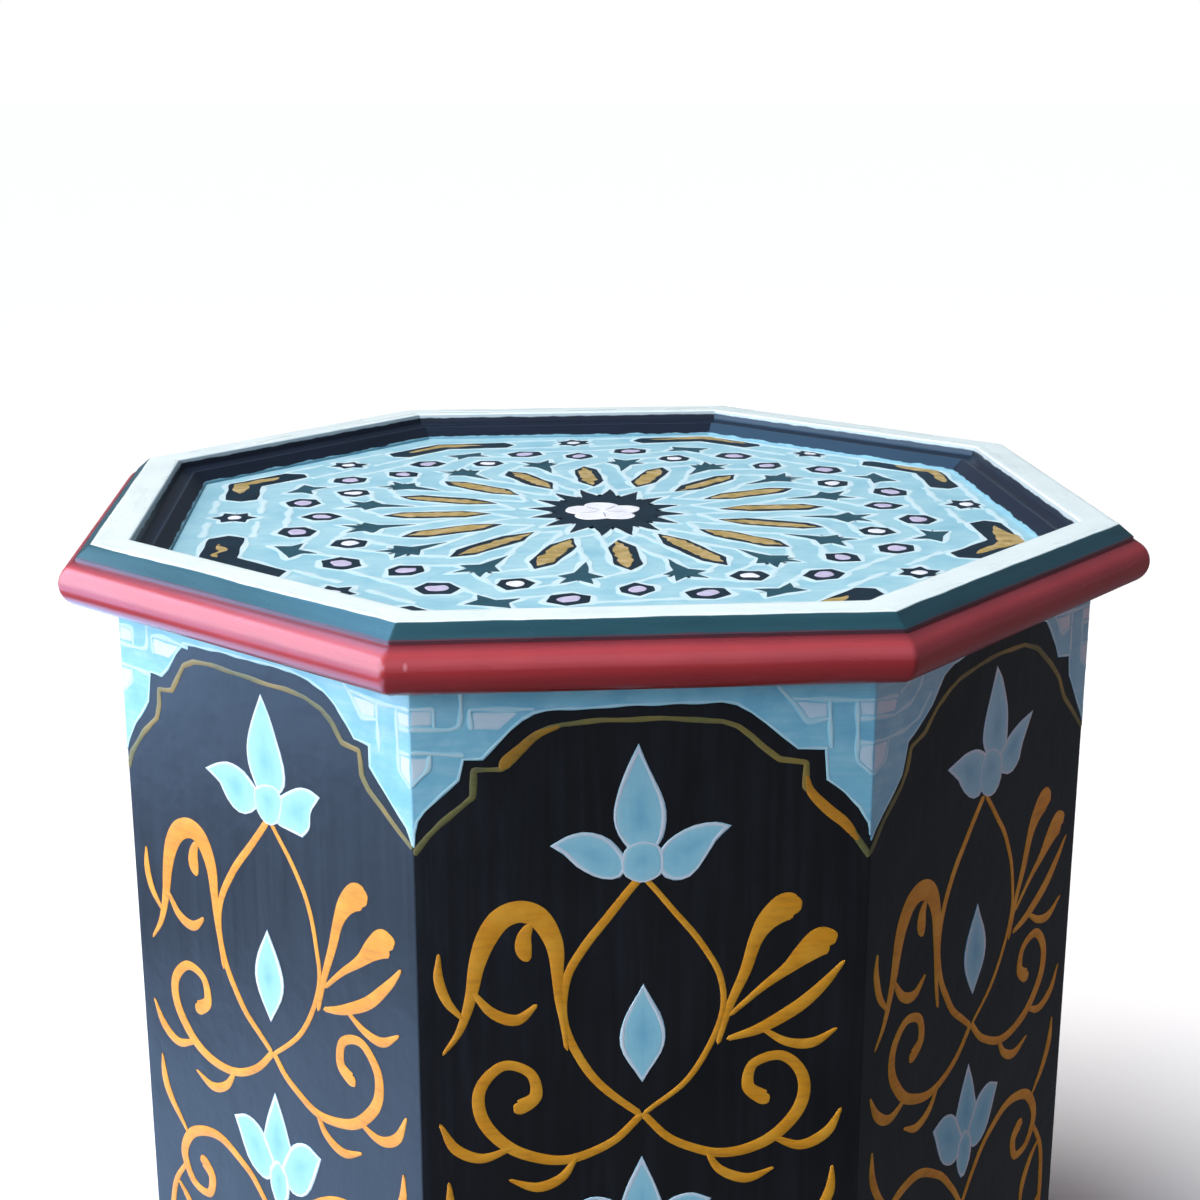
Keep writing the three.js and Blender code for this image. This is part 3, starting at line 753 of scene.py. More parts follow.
def panelBoard(side):
    # rays from the focus at angle q carry the opening's edge out to the board's edge, which they meet at
    # focus + tan(q) * half width, or at (top - focus) / tan(q); each ray's section runs reveal, arris,
    # flat face, rounded corner, mitre, back
    edge = archHalf()
    edge = edge[np.concatenate([[True], runLengths(edge)[0] > tiny])]
    jambTop, jambOut = panel["arch"]["jamb"], panel["arch"]["halfWidth"]
    sight = np.arctan2(edge[:, 1] - archFocus, edge[:, 0])
    cornerSight = math.atan2(panelTop - archFocus, panelRoundStart)
    even = np.linspace(sight[0], sight[-1], panel["rays"])
    rays = np.unique(np.concatenate([sight, even, [cornerSight, cornerSight + panel["pastCorner"]]]))
    onJamb = rays < math.atan2(jambTop - archFocus, jambOut) + tiny
    toSide = rays <= cornerSight + tiny
    u = np.where(onJamb, jambOut, np.interp(rays, sight, edge[:, 0]))
    z = np.where(onJamb, archFocus + np.tan(rays) * jambOut, np.interp(rays, sight, edge[:, 1]))
    outU = np.where(toSide, panelRoundStart, (panelTop - archFocus) / np.tan(rays))
    jambRise = archFocus + (jambTop - archFocus) / jambOut * panelRoundStart
    outZ = np.where(onJamb, z * jambRise / jambTop,
                    np.where(toSide, archFocus + np.tan(rays) * panelRoundStart, panelTop))
    u, z, outU, outZ = [np.concatenate([v, (sign * v)[::-1][1:]])
                        for v, sign in ((u, -1), (z, 1), (outU, -1), (outZ, 1))]
    toSide = np.concatenate([toSide, toSide[::-1][1:]])
    away = np.stack([outU - u, outZ - z], 1)
    away /= np.linalg.norm(away, axis=1)[:, None]
    lip = panel["arris"]
    broken = lip * panel["arrisBreak"]
    columns = [(u, z, np.full_like(u, panelBack - panelFace)), (u, z, np.full_like(u, -lip)),
               (u + away[:, 0] * broken, z + away[:, 1] * broken * (z > 0), np.full_like(u, -broken))]
    startU, startZ = u + away[:, 0] * lip, np.where(z > 0, z + away[:, 1] * lip, z)
    for share in np.linspace(0, 1, panel["frontSteps"]):
        columns.append((startU + (outU - startU) * share, startZ + (outZ - startZ) * share, np.zeros_like(u)))
    for share in np.linspace(0, 1, panel["roundSteps"] + 1)[1:]:
        grow = np.where(toSide, (panelHalf - panelRoundStart) * share, 0)
        columns.append((outU + np.sign(outU) * grow, outZ, np.zeros_like(u)))
    grid = np.stack([np.stack(column, -1) for column in columns], 1)
    points = onSide(side)(grid.reshape(-1, 3)).reshape(grid.shape)
    points[:, 0] = sidePoint(side, np.full_like(u, panelBack), u, z)
    backU = np.where(toSide, np.sign(outU) * panelBackHalf, np.clip(outU, -panelBackHalf, panelBackHalf))
    rear = sidePoint(side, np.full_like(u, panelBack), backU, outZ)
    points = np.concatenate([points, rear[:, None]], 1)
    uv = np.concatenate([grid[:, :, :2], np.stack([backU, outZ], -1)[:, None]], 1) / metre
    uv = (uv + [side * sideShift, 0])[:, :, ::-1]  # the brush runs up the board
    finish = np.zeros((points.shape[0] - 1, points.shape[1]), int)
    finish[:, -2:] = 1  # mitre and back stay bare, and so do the two ends
    return gridPart(points, uv, capEnds=True, finish=np.concatenate([finish.ravel(), [1, 1]]))


for side in range(1, sideCount + 1):
    makePiece(f"sidePanel_{side}", [panelBoard(side)], [panelPaint, cedarUp],
              [f"side_panel_{side}"])
print("side panels:", sideCount)

# Painting on the side panels; depth is measured down from the top of the rim

drawing = {
    "bandTop": 26.6, "tremor": 0.3, "tremorWave": 31, "fine": 1.5,
    "coat": 0.12, "line": 0.2, "gold": 0.2, "leaf": 0.16, "over": 0.03,  # heights, and one coat over another
    "edgeWidth": 1.3, "goldWidth": (1.9, 2.6), "knotWidth": 2.3, "leafWidth": 1.6, "leastStroke": 0.8,
    "leafSteps": 12, "strokeSteps": 10,
    "edgeSwell": 0.25, "edgeBeat": 0.4, "swell": 0.3, "beat": 0.5,  # how a line's width comes and goes
    "cut": 0.8, "knotSpacing": 1.8, "knotCut": 1.2, "knotBeat": 0.3,
    "cellOver": 0.04, "knotOver": 0.012, "leafOver": 0.02, "handOver": 0.004, "footOver": 0.01,
    "stemWidth": {"left": 3.4, "right": 2.4}, "stemOver": 0.01, "curlOver": 0.012, "scrollOver": 0.011,
    "petalCore": 0.35, "lastPetal": 0.65,
    "archGap": 0.2, "floorGap": 0.05, "footBand": 8.0, "footHeight": 26.0, "footCoat": 0.9,
    "echo": 4.5, "echoWidth": (1.4, 1.9), "footThread": 1.6, "footSteps": 14,
    "curlDrop": {("right", -1): 10.0},
}
# each layer's material and slot
panelCoats = {
    "panelStraps": (strapPaint, "strap_paint"), "panelLines": (panelLinePaint, "line_paint"),
    "panelPetals": (petalBlue, "strap_paint"), "petalLines": (petalLinePaint, "line_paint"),
    "panelCells": (panelLilacPaint, "lilac_paint"), "panelBorder": (panelGoldPaint, "gold_paint"),
    "panelLicks": (lickPaint, "gold_paint"), "panelGilt": (giltPaint, "gold_paint"),
    "panelScrolls": (scrollGoldPaint, "gold_paint"),
}

# where the photo shows them, the points of the borders, the knots and the flower shapes were picked on it
# by eye and turned to mm by scratch programs through the fitted camera; a part stands as printed, much of
# the rest is rounded or moved; no point of the curls and scrolls is one that those programs print
# the arch edge and the thin ochre line inside it from the left corner to the right one, (along, depth), and
# the licks of the brush, (along, depth, width), with their layer
borders = {
    "front": {
        "edge": [(-87.3, 91), (-86.8, 85.6), (-85.4, 80.3), (-82.5, 76.2), (-76.2, 70.1), (-70.0, 64.6),
                 (-68.2, 56.0), (-60.8, 56.0), (-56.7, 51.6), (-50.6, 45.1), (-46, 41), (-41.6, 38.6),
                 (-37, 37.8), (-30.8, 37.4), (-16, 37.0), (0, 36.6), (14, 36.2), (28.9, 36.2), (34.6, 37.3),
                 (40.4, 40.6), (46.4, 45.3), (52.4, 50.5), (58.4, 55.4), (69.4, 56.0), (70.1, 68.4),
                 (77.1, 74.1), (83.0, 80.0), (86.4, 86.5), (87.3, 92)],
        "gold": [(-87.2, 93.5), (-82, 86.8), (-76.8, 81.6), (-70, 76), (-64.5, 71.3), (-64.0, 60.6),
                 (-54.0, 60.6), (-51.0, 58.2), (-45.9, 52.4), (-39.8, 46.9), (-35.5, 44.7), (-30.9, 43.5),
                 (-16.1, 42.4), (5, 42.4), (20, 43.0), (29.1, 44.2), (34.9, 46.4), (40.8, 50.6),
                 (46.2, 55.6), (51.3, 60.0), (61.6, 61.4), (61.7, 71.5), (71.6, 81.0), (80.1, 89.5),
                 (87.2, 100.4)],
        "licks": [([(-54.2, 60.8, 2.4), (-52.0, 57.6, 4.8), (-46.6, 52.6, 4.0), (-40, 47.2, 3.0),
                    (-32, 44.0, 1.6)],
                   "panelGilt"),
                  ([(61.9, 66.8, 1.6), (63.8, 73.6, 3.4), (70.4, 80.6, 4.3), (77.4, 87.0, 4.0),
                    (82.6, 93.4, 2.0)],
                   "panelLicks")]},
    "left": {
        "edge": [(-87.3, 91), (-86.0, 87.8), (-79.7, 78.2), (-76.0, 74.0), (-70.4, 66.5), (-67.9, 53.4),
                 (-60.4, 53.6), (-55.7, 49.5), (-49.8, 41.9), (-44.3, 36.6), (-37.6, 35.9), (-22.9, 35.3),
                 (-8.6, 35.0), (9.9, 34.6), (21.9, 34.8), (32.1, 35.9), (40.4, 38.7), (47.1, 43.0),
                 (53.0, 49.1), (57.1, 54.5), (65.5, 55.0), (65.6, 63.6), (70.2, 69.3), (78.8, 77.6),
                 (84.4, 83.6), (87.3, 90)],
        "gold": [(-87.2, 100.0), (-84.3, 93.0), (-75.2, 81.8), (-65.3, 73.4), (-63.2, 66.8), (-62.8, 60.0),
                 (-54.2, 58.8), (-49.6, 52.7), (-44.9, 46.0), (-38.3, 43.0), (-24.2, 42.2), (-10.0, 42.6),
                 (2.4, 43.0), (17.7, 43.0), (29.6, 43.8), (38.1, 46.2), (44.7, 50.9), (50.2, 57.6),
                 (59.2, 58.6), (60.6, 68.6), (64.2, 73.2), (74.2, 81.9), (87.2, 91.6)]},
    "right": {
        "edge": [(-87.3, 94), (-84.6, 90.4), (-79.6, 85.2), (-72, 78.6), (-66.4, 73.0), (-64.4, 66.6),
                 (-63.0, 60.4), (-56.4, 57.0), (-51.4, 53.6), (-46.2, 49.6), (-41.3, 44.0), (-37.4, 39.8),
                 (-30, 36.3), (-10, 33.4), (18, 32.6), (40, 33.4), (47.4, 36.2), (52.3, 41.8), (57.0, 49.0),
                 (60.0, 55.1), (70.3, 56.4), (71.6, 66.4), (78.4, 76.4), (84.4, 85.8), (87.3, 91)],
        "gold": [(-87.2, 99.4), (-78.9, 89.2), (-66.4, 78.3), (-62.9, 72.8), (-60.6, 63.5), (-50.7, 60.2),
                 (-41.2, 51.9), (-33.4, 47.4), (-25.7, 44.6), (-10.0, 42.0), (10.7, 41.4), (28.3, 42.4),
                 (40.7, 46.9), (52.4, 55.8), (62.1, 65.4), (68.2, 75.7), (78.1, 85.4), (87.2, 94)]},
}

# the interlaced straps in each upper corner: patches and lines by distance in from the corner and depth
knotWithin = {
    "patches": [[(18.2, 37.6), (30.8, 37.2), (25.6, 44.4), (18.2, 43.4)],
                [(0.0, 38.0), (6.8, 38.0), (6.8, 43.4), (0.0, 43.4)],
                [(0.0, 55.0), (5.8, 55.2), (5.8, 61.2), (0.0, 66.4)]],
    "lines": [[(0, 37.0), (17, 36.9), (33, 35.6)],
              [(38.5, 29.0), (36.4, 32.0), (31.0, 38.0), (25.6, 45.2), (17.4, 44.0)],
              [(0, 44.6), (6.4, 44.6)], [(0, 54.2), (6.0, 54.2)], [(6.9, 37.2), (6.0, 61.6), (0, 67.2)],
              [(17.2, 37.2), (16.5, 56.2)]],
}
knotBeside = {
    "patches": [[(0.4, 36.8), (8.4, 36.8), (8.2, 42.6), (0.0, 42.8)],
                [(0.0, 55.0), (7.2, 55.2), (6.6, 60.4), (0.0, 65.8)],
                [(23.4, 38.0), (40.0, 38.4), (33.0, 45.0), (22.8, 44.6)]],
    "lines": [[(0, 36.2), (9.0, 36.3), (9.0, 43.6)],
              [(19.2, 28.0), (18.8, 40.4), (17.9, 43.3), (15.4, 44.3), (12.4, 44.5), (0, 44.2)],
              [(22.6, 44.8), (21.8, 37.0), (28.3, 36.6), (46.0, 37.6)],
              [(0, 53.4), (7.2, 53.6), (20.0, 54.8)], [(7.2, 54.0), (6.8, 60.2), (0, 66.4)]],
}
knotBent = {
    "patches": [[(0.0, 38.0), (15.2, 40.6), (14.0, 45.2), (0.0, 43.6)],
                [(0.0, 55.0), (9.6, 56.2), (8.2, 63.4), (0.0, 67.0)]],
    "lines": [[(0, 37.2), (16.0, 39.8)],
              [(0, 44.4), (13.0, 46.6), (25.0, 44.7), (31.7, 39.6), (36.2, 29.0)],
              [(0, 53.8), (8.9, 54.8), (21.4, 55.4), (31.7, 52.4), (40.2, 44.0)],
              [(9.8, 55.4), (8.6, 63.8), (0, 67.6)], [(16.2, 39.2), (24.0, 35.4), (28.6, 28.6)]],
}
knots = {"front": (knotBeside, knotWithin), "left": (knotBeside, knotWithin),
         "right": (knotBent, knotWithin)}

# each petal is two or three curved sides from tip to tip, (along, depth)
flowerShapes = {
    "front": {
        "petals": [([(-2.2, 54.4), (-5.9, 62.4), (-9.4, 71.5), (-11.2, 80.5), (-9.4, 87.5), (-5.2, 94)],
                    [(-5.2, 94), (-0.5, 92.2), (4.6, 93)],
                    [(4.6, 93), (6.6, 89.3), (7.6, 81.6), (6.3, 74), (2.2, 64.2), (-2.2, 54.4)]),
                   ([(-34.6, 92.2), (-29.0, 88.9), (-22, 87.7), (-14.5, 90.2), (-9.4, 96), (-7.4, 101)],
                    [(-7.4, 101), (-10, 105.5), (-17, 105.5), (-24.0, 101), (-29.8, 95.0), (-34.6, 92.2)]),
                   ([(31.8, 86.5), (27, 85.4), (18.0, 86.6), (10.8, 91), (6.8, 96.6), (5.8, 101)],
                    [(5.8, 101), (8.5, 105.5), (13.6, 107), (18.8, 104.5), (24.0, 96.5), (27.2, 91.3),
                     (31.8, 86.5)]),
                   ([(-8.2, 99), (-6.4, 94), (-0.5, 91.6), (5.2, 93.4), (7.2, 98)],
                    [(7.2, 98), (6.4, 104.5), (-0.5, 108), (-7, 105), (-8.2, 99)])],
        "neck": (-0.5, 107), "line": 1.7},
    "left": {
        "petals": [([(3.0, 49.3), (-1.5, 57.8), (-5.5, 67.4), (-6.7, 74.2), (-5.6, 81.6), (-0.6, 90.5)],
                    [(-0.6, 90.5), (5, 91.5), (10.8, 88.5)],
                    [(10.8, 88.5), (14.6, 84.4), (14.8, 77.8), (12.3, 68.7), (9.0, 59.8), (5.5, 53.1),
                     (3.0, 49.3)]),
                   ([(-33.2, 88.0), (-25.7, 84.1), (-18.7, 82.2), (-10.8, 83.9), (-5.1, 88.0),
                     (-1.6, 91.0)],
                    [(-1.6, 91.0), (-2.6, 97.3), (-9.1, 101.7), (-15.7, 101.6), (-21.6, 97.5),
                     (-25.5, 91.8), (-33.2, 88.0)]),
                   ([(35.3, 84.1), (30.3, 82.2), (24.1, 82.8), (17.4, 86.4), (11.1, 91.2), (9.5, 96.5)],
                    [(9.5, 96.5), (10.2, 101.0), (15.0, 102.2), (24.3, 102.9)],
                    [(24.3, 102.9), (28.8, 98.1), (30.2, 91.3), (35.3, 84.1)]),
                   ([(-3.2, 90), (2, 87), (9.3, 86.6), (13.2, 90.2)],
                    [(13.2, 90.2), (11.8, 97), (9.6, 101), (4.5, 103), (-0.7, 100.3), (-3.4, 95.5),
                     (-3.2, 90)])],
        "neck": (4.4, 102.7), "line": 1.1},
    "right": {
        "petals": [([(5.8, 47.6), (1.9, 58.1), (-1.9, 69.2), (-2.2, 78.0), (2.4, 85)],
                    [(2.4, 85), (10, 88), (16.6, 85)],
                    [(16.6, 85), (16.6, 76), (15.4, 64.8), (10.4, 53.6), (5.8, 47.6)]),
                   ([(-29.3, 82), (-22.3, 80.0), (-16.6, 78.6), (-8, 79.6), (1.7, 85)],
                    [(1.7, 85), (0.6, 93.8), (-3.4, 99.7), (-10, 99.4), (-17.5, 94), (-21.9, 87.8),
                     (-29.3, 82)]),
                   ([(38.2, 75), (28.5, 77), (20.5, 80.6), (14.9, 84.7), (10.5, 88)],
                    [(10.5, 88), (12.5, 94), (21.6, 97.7), (28.5, 93.9), (31.1, 86.7), (38.2, 75)]),
                   ([(-3.4, 88), (1, 82.6), (8, 83.4), (13.9, 89)],
                    [(13.9, 89), (13.3, 98), (8.3, 103), (1, 101.6), (-3.6, 95.4), (-3.4, 88)])],
        "neck": (1.0, 102.4), "line": 1.3},
}
drawnLike = {1: "front", 2: "right", 3: "front", 4: "left", 5: "front", 6: "right", 7: "front", 8: "left"}

# gold brush strokes, each a run of (along, depth, stroke width); the first group differs left and right
curls = {
    "left": [[(-29.5, 178, 2.0), (-32.2, 160, 3.2), (-33.2, 146, 4.6), (-34.6, 132, 7.0), (-39.6, 122, 8.6),
              (-47, 118.6, 9.0), (-55, 121.4, 9.0), (-60.6, 129.4, 8.2), (-64, 140, 6.4), (-67, 154, 4.6),
              (-71.4, 168, 3.0), (-78, 178, 1.2)],
             [(-43.5, 124, 3.0), (-45.8, 129, 5.4), (-46.2, 134.5, 6.4), (-44.8, 139.5, 3.4)],
             [(-66, 152, 2.0), (-58.5, 161, 4.2), (-49, 164, 4.6), (-41, 158, 1.6)],
             [(-70, 163, 1.6), (-76, 155, 3.6), (-79, 145, 3.8), (-79, 135, 1.2)]],
    "right": [[(29.5, 178, 2.0), (34, 162, 3.2), (40, 147, 4.4), (43.6, 134, 5.6), (48, 126, 8.4),
               (54.5, 120.6, 11.4), (58.6, 120.6, 11), (61, 121.6, 8)],
              [(34, 166, 1.8), (46, 155, 3.0), (56, 147, 5.0), (63, 140.6, 8.8), (69, 136, 11.8),
               (73, 135, 11), (75, 136, 8)],
              [(33, 176, 2.0), (46, 172, 4.4), (60, 164, 5.4), (71, 154, 4.2), (79, 144, 1.4)],
              [(47, 172, 1.8), (57, 178, 3.6), (67, 179, 4.2), (77, 173, 1.2)]],
}

# the scrolls and small flowers below, drawn on the right and mirrored
scrolls = {
    "strokes": [[(0, 207, 3.0), (12, 219, 3.4), (30, 226, 4.0), (49, 222, 4.8), (62, 209, 5.2),
                 (64, 194, 4.8), (55, 184, 4.2), (44, 187, 4.0), (42, 197, 5.0), (48, 202, 6.4),
                 (51, 202, 5.0)],
                [(52, 220, 2.0), (64, 224, 4.2), (74, 219, 4.4), (80, 208, 1.2)],
                [(26, 225, 1.8), (32, 234, 3.8), (42, 238, 4.2), (53, 234, 1.2)],
                [(0, 296, 2.6), (9, 283, 3.2), (22, 270, 3.6), (40, 262, 4.4), (57, 266, 5.0),
                 (65, 279, 4.8), (60, 292, 4.2), (49, 294, 4.0), (46, 285, 5.0), (51, 279, 6.0),
                 (54, 279, 4.6)],
                [(62, 268, 1.8), (71, 257, 3.8), (76, 246, 4.2), (77, 234, 1.2)],
                [(64, 284, 2.2), (73, 298, 3.2), (76.5, 318, 3.6), (75, 340, 3.4), (73, 362, 3.0),
                 (76, 384, 2.4), (77, 400, 1.0)],
                [(76, 326, 1.6), (70, 334, 4.0), (68, 345, 4.4), (70, 357, 1.2)],
                [(74, 354, 1.6), (80, 364, 4.0), (81, 376, 4.0), (78.5, 388, 1.2)],
                [(71, 296, 1.6), (64, 303, 3.8), (58, 314, 4.2), (57, 326, 1.2)]],
    "palmette": [([(0, 228), (-6.5, 243), (-8.5, 256), (0, 268)],
                  [(0, 268), (8.5, 256), (6.5, 243), (0, 228)]),
                 ([(-27, 247), (-19, 244), (-10, 248), (-3, 260)],
                  [(-3, 260), (-8, 270), (-18, 266), (-27, 247)]),
                 ([(27, 247), (19, 244), (10, 248), (3, 260)], [(3, 260), (8, 270), (18, 266), (27, 247)]),
                 ([(-5, 264), (0, 259), (5, 264)], [(5, 264), (5, 273), (0, 281), (-5, 273), (-5, 264)]),
                 ([(0, 152), (-6.5, 166), (-7.5, 178), (0, 192)],
                  [(0, 192), (7.5, 178), (6.5, 166), (0, 152)])],
}

# a stem from the flower's neck: distance out, share of the neck's place across, depth, share of the neck's
# depth, and share of the stem's width
stemRun = [(0.6, 1, -1, 1, 0.9), (12, 1, 13, 1, 1), (23, 0.6, 28, 1, 1.05), (30, 0, 149, 0, 1),
           (30.5, 0, 168, 0, 1), (19, 0, 191, 0, 1), (0, 0, 208, 0, 0.8)]
pen = {"wave": 0.12, "across": 0.31, "up": 0.23, "evened": 7}


def fromTop(points):
    # (along, depth) to (along, height)
    points = np.asarray(points, float)
    return np.stack([points[:, 0], stoolTop - points[:, 1]], 1)


def fromCorner(points, hand):
    # (distance in from the corner, depth) to (along, height), on the left or the right hand
    return fromTop([(hand * (panelHalf - inward), depth) for inward, depth in points])


def tremble(points, seed):
    # the panel painter's hand: wobble with the drawing's size and wave
    return wobble(np.asarray(points, float), drawing["tremor"], drawing["tremorWave"], seed)


def heldInside(points):
    # nothing is painted past the board's edge
    return np.column_stack([np.clip(points[:, 0], -panelHalf, panelHalf), points[:, 1]])


def penWidth(path, low, high):
    # a flat brush held square: low + (high - low) * climb, thin along the panel and thick where it
    # climbs, evened out over a few steps and with a slow wave of its own
    step = np.gradient(path, axis=0)
    climb = np.abs(step[:, 1]) / np.maximum(np.linalg.norm(step, axis=1), tiny)
    wave = pen["wave"] * np.sin(path[:, 0] * pen["across"] + path[:, 1] * pen["up"])
    count = pen["evened"]
    smooth = np.convolve(np.pad(climb, count // 2, mode="edge"), np.ones(count) / count, mode="valid")
    return (low + (high - low) * smooth) * (1 + wave)


def counterClockwise(outline):
    # the outline turned so that its area, half the sum of x * y' - x' * y, is positive
    x, y = outline[:, 0], outline[:, 1]
    area = (x * np.roll(y, -1) - np.roll(x, -1) * y).sum()
    return outline if area > 0 else outline[::-1]


def addLeaf(coats, sides, seed, level, lineWidth=drawing["leafWidth"]):
    # a filled petal, its curved sides joined end to end with sharp tips, and the pale line round it
    outline = np.vstack([curveThrough(points, drawing["leafSteps"])[:-1] for points in sides])
    outline = counterClockwise(tremble(fromTop(outline), seed))
    coats["panelPetals"].append(filmFan(outline, level, stroke=True, inside=drawing["petalCore"]))
    swell = lineWidth * (1 + drawing["swell"] * np.sin(np.arange(len(outline)) * drawing["beat"] + seed))
    level = level + drawing["leafOver"]
    coats["petalLines"].append(filmRibbon(outline, swell, level, closed=True, stroke=True))


def brushStroke(run, seed, coat, scale=(1, 1)):
    # a smooth stroke through the run; its width follows the same curve as its place
    run = np.array(run, float) * [*scale, 1]
    count = drawing["strokeSteps"] * len(run)
    path = tremble(fromTop(curveThrough(run[:, :2], count)), seed)
    width = np.maximum(curveThrough(run[:, [2, 2]], count)[:, 0], drawing["leastStroke"])
    return filmRibbon(path, width, coat)


def paintBorder(side, coats):
    # the blue band above the arch edge, the white edge line, and the ochre line with its licks
    border = borders[drawnLike[side]]
    edge = tremble(alongLine(fromTop(border["edge"]), drawing["fine"]), side)
    edge[0, 0], edge[-1, 0] = -panelHalf, panelHalf
    edge = heldInside(edge)
    roof = np.stack([edge[:, 0], np.full(len(edge), stoolTop - drawing["bandTop"])], 1)
    coats["panelStraps"].append(filmPatch(edge, roof, drawing["coat"], columns=4))
    swell = drawing["edgeWidth"] * (1 + drawing["edgeSwell"] * np.sin(edge[:, 0] * drawing["edgeBeat"]))
    coats["panelLines"].append(filmRibbon(edge, swell, drawing["line"], drawn=False, stroke=True))
    thread = alongLine(fromTop(border["gold"]), drawing["fine"], drawing["cut"])
    thread = heldInside(tremble(thread, side + 2.0))
    width = penWidth(thread, *drawing["goldWidth"])
    coats["panelBorder"].append(filmRibbon(thread, width, drawing["gold"], drawn=False))
    for run, layer in border.get("licks", []):
        coats[layer].append(brushStroke(run, side + 2.0, drawing["gold"] + drawing["over"]))


def paintKnots(side, coats):
    # the interlaced straps of both upper corners: lilac patches with white lines over them
    for hand, knot in zip((-1, 1), knots[drawnLike[side]]):
        for patch in knot["patches"]:
            shape = counterClockwise(fromCorner(patch, hand))
            shape = alongLine(shape, paintLayer["spacing"], drawing["cut"], closed=True)
            outline = heldInside(tremble(shape, side + hand))
            coats["panelCells"].append(filmFan(outline, drawing["coat"] + drawing["cellOver"], stroke=True))
        for index, run in enumerate(knot["lines"]):
            path = alongLine(fromCorner(run, hand), drawing["knotSpacing"], drawing["knotCut"])
            path = heldInside(tremble(path, side + hand * 3))
            beat = path[:, 1] * drawing["beat"] + path[:, 0] * drawing["knotBeat"] + side
            swell = drawing["knotWidth"] * (1 + drawing["swell"] * np.sin(beat))
            level = drawing["line"] + drawing["knotOver"] * (index + 1)
            coats["panelLines"].append(filmRibbon(path, swell, level, stroke=True))


def paintFlower(side, coats):
    # the flower, the two stems that cross under it, the curls beside them and the scrolls below
    flower = flowerShapes[drawnLike[side]]
    for index, sides in enumerate(flower["petals"]):
        width = flower["line"] * (1 if index < 3 else drawing["lastPetal"])
        addLeaf(coats, sides, side + index * 0.7, drawing["leaf"] + drawing["over"] * index, width)
    gold, scroll = drawing["gold"], coats["panelScrolls"]
    x, d = flower["neck"]
    for hand, curl in ((-1, "left"), (1, "right")):
        stem = [(hand * out + x * across, depth + d * down, drawing["stemWidth"][curl] * wide)
                for out, across, depth, down, wide in stemRun]
        scroll.append(brushStroke(stem, side + 4.0, gold + drawing["stemOver"] * hand))
        drop = [0, drawing["curlDrop"].get((drawnLike[side], hand), 0), 0]
        for index, run in enumerate(curls[curl]):
            level = gold + drawing["over"] + drawing["curlOver"] * index
            scroll.append(brushStroke(np.array(run) + drop, side + 5.0, level))
        for index, run in enumerate(scrolls["strokes"]):
            level = gold + drawing["leafOver"] + drawing["scrollOver"] * index
            level = level + drawing["handOver"] * hand
            scroll.append(brushStroke(run, side + 6.0, level, (hand, 1)))
    for index, sides in enumerate(scrolls["palmette"]):
        addLeaf(coats, sides, side + index * 0.9, drawing["leaf"] + drawing["over"] * index)


def paintFoot(side, coats):
    # the blue band round the foot arch and across both feet, with its white and ochre lines
    inner, outer = archLine(panel["arris"] + drawing["archGap"]), archLine(drawing["footBand"])
    inner[[0, -1], 1], outer[[0, -1], 1] = drawing["floorGap"], drawing["floorGap"]
    coats["panelStraps"].append(filmPatch(inner, outer, drawing["coat"]))
    outer = alongLine(outer, paintLayer["spacing"])
    coats["panelLines"].append(filmRibbon(outer, drawing["edgeWidth"], drawing["line"], drawn=False,
                                          stroke=True))
    echo = alongLine(archLine(drawing["footBand"] + drawing["echo"]), paintLayer["spacing"])
    echo = echo[echo[:, 1] > drawing["footHeight"] + drawing["echo"]]
    coats["panelBorder"].append(filmRibbon(echo, penWidth(echo, *drawing["echoWidth"]), drawing["gold"]))
    for hand in (-1, 1):
        start, count = panel["arch"]["halfWidth"] + drawing["footBand"], drawing["footSteps"]
        along = np.linspace(start, panelHalf, count) * hand
        low, high = [np.stack([along, np.full(count, height)], 1)
                     for height in (drawing["floorGap"], drawing["footHeight"])]
        coats["panelStraps"].append(filmPatch(low, high, drawing["coat"] * drawing["footCoat"]))
        over = drawing["footOver"]
        coats["panelLines"].append(filmRibbon(heldInside(tremble(high, side)), drawing["edgeWidth"],
                                              drawing["line"] + over, drawn=False, stroke=True))
        thread = heldInside(tremble(high + [drawing["echo"] * hand, drawing["echo"]], side + 1))
        coats["panelBorder"].append(filmRibbon(thread, drawing["footThread"], drawing["gold"] + over,
                                               drawn=False))


def layCoats(coats, finishes, place, ending="", shift=0.0):
    # puts each layer's parts on their real surface and makes them one piece; shift moves its pattern
    for name, parts in coats.items():
        if parts:
            material, slotName = finishes[name]
            parts = [dict(part, points=place(part["points"]), uv=part["uv"] + [shift, 0]) for part in parts]
            makePiece(name + ending, parts, [material])


for side in range(1, sideCount + 1):
    coats = {name: [] for name in panelCoats}
    for paint in (paintBorder, paintKnots, paintFlower, paintFoot):
        paint(side, coats)
    layCoats(coats, panelCoats, onSide(side), f"_{side}", side * sideShift)
print("side paintings:", sideCount)

# The star on the tray floor

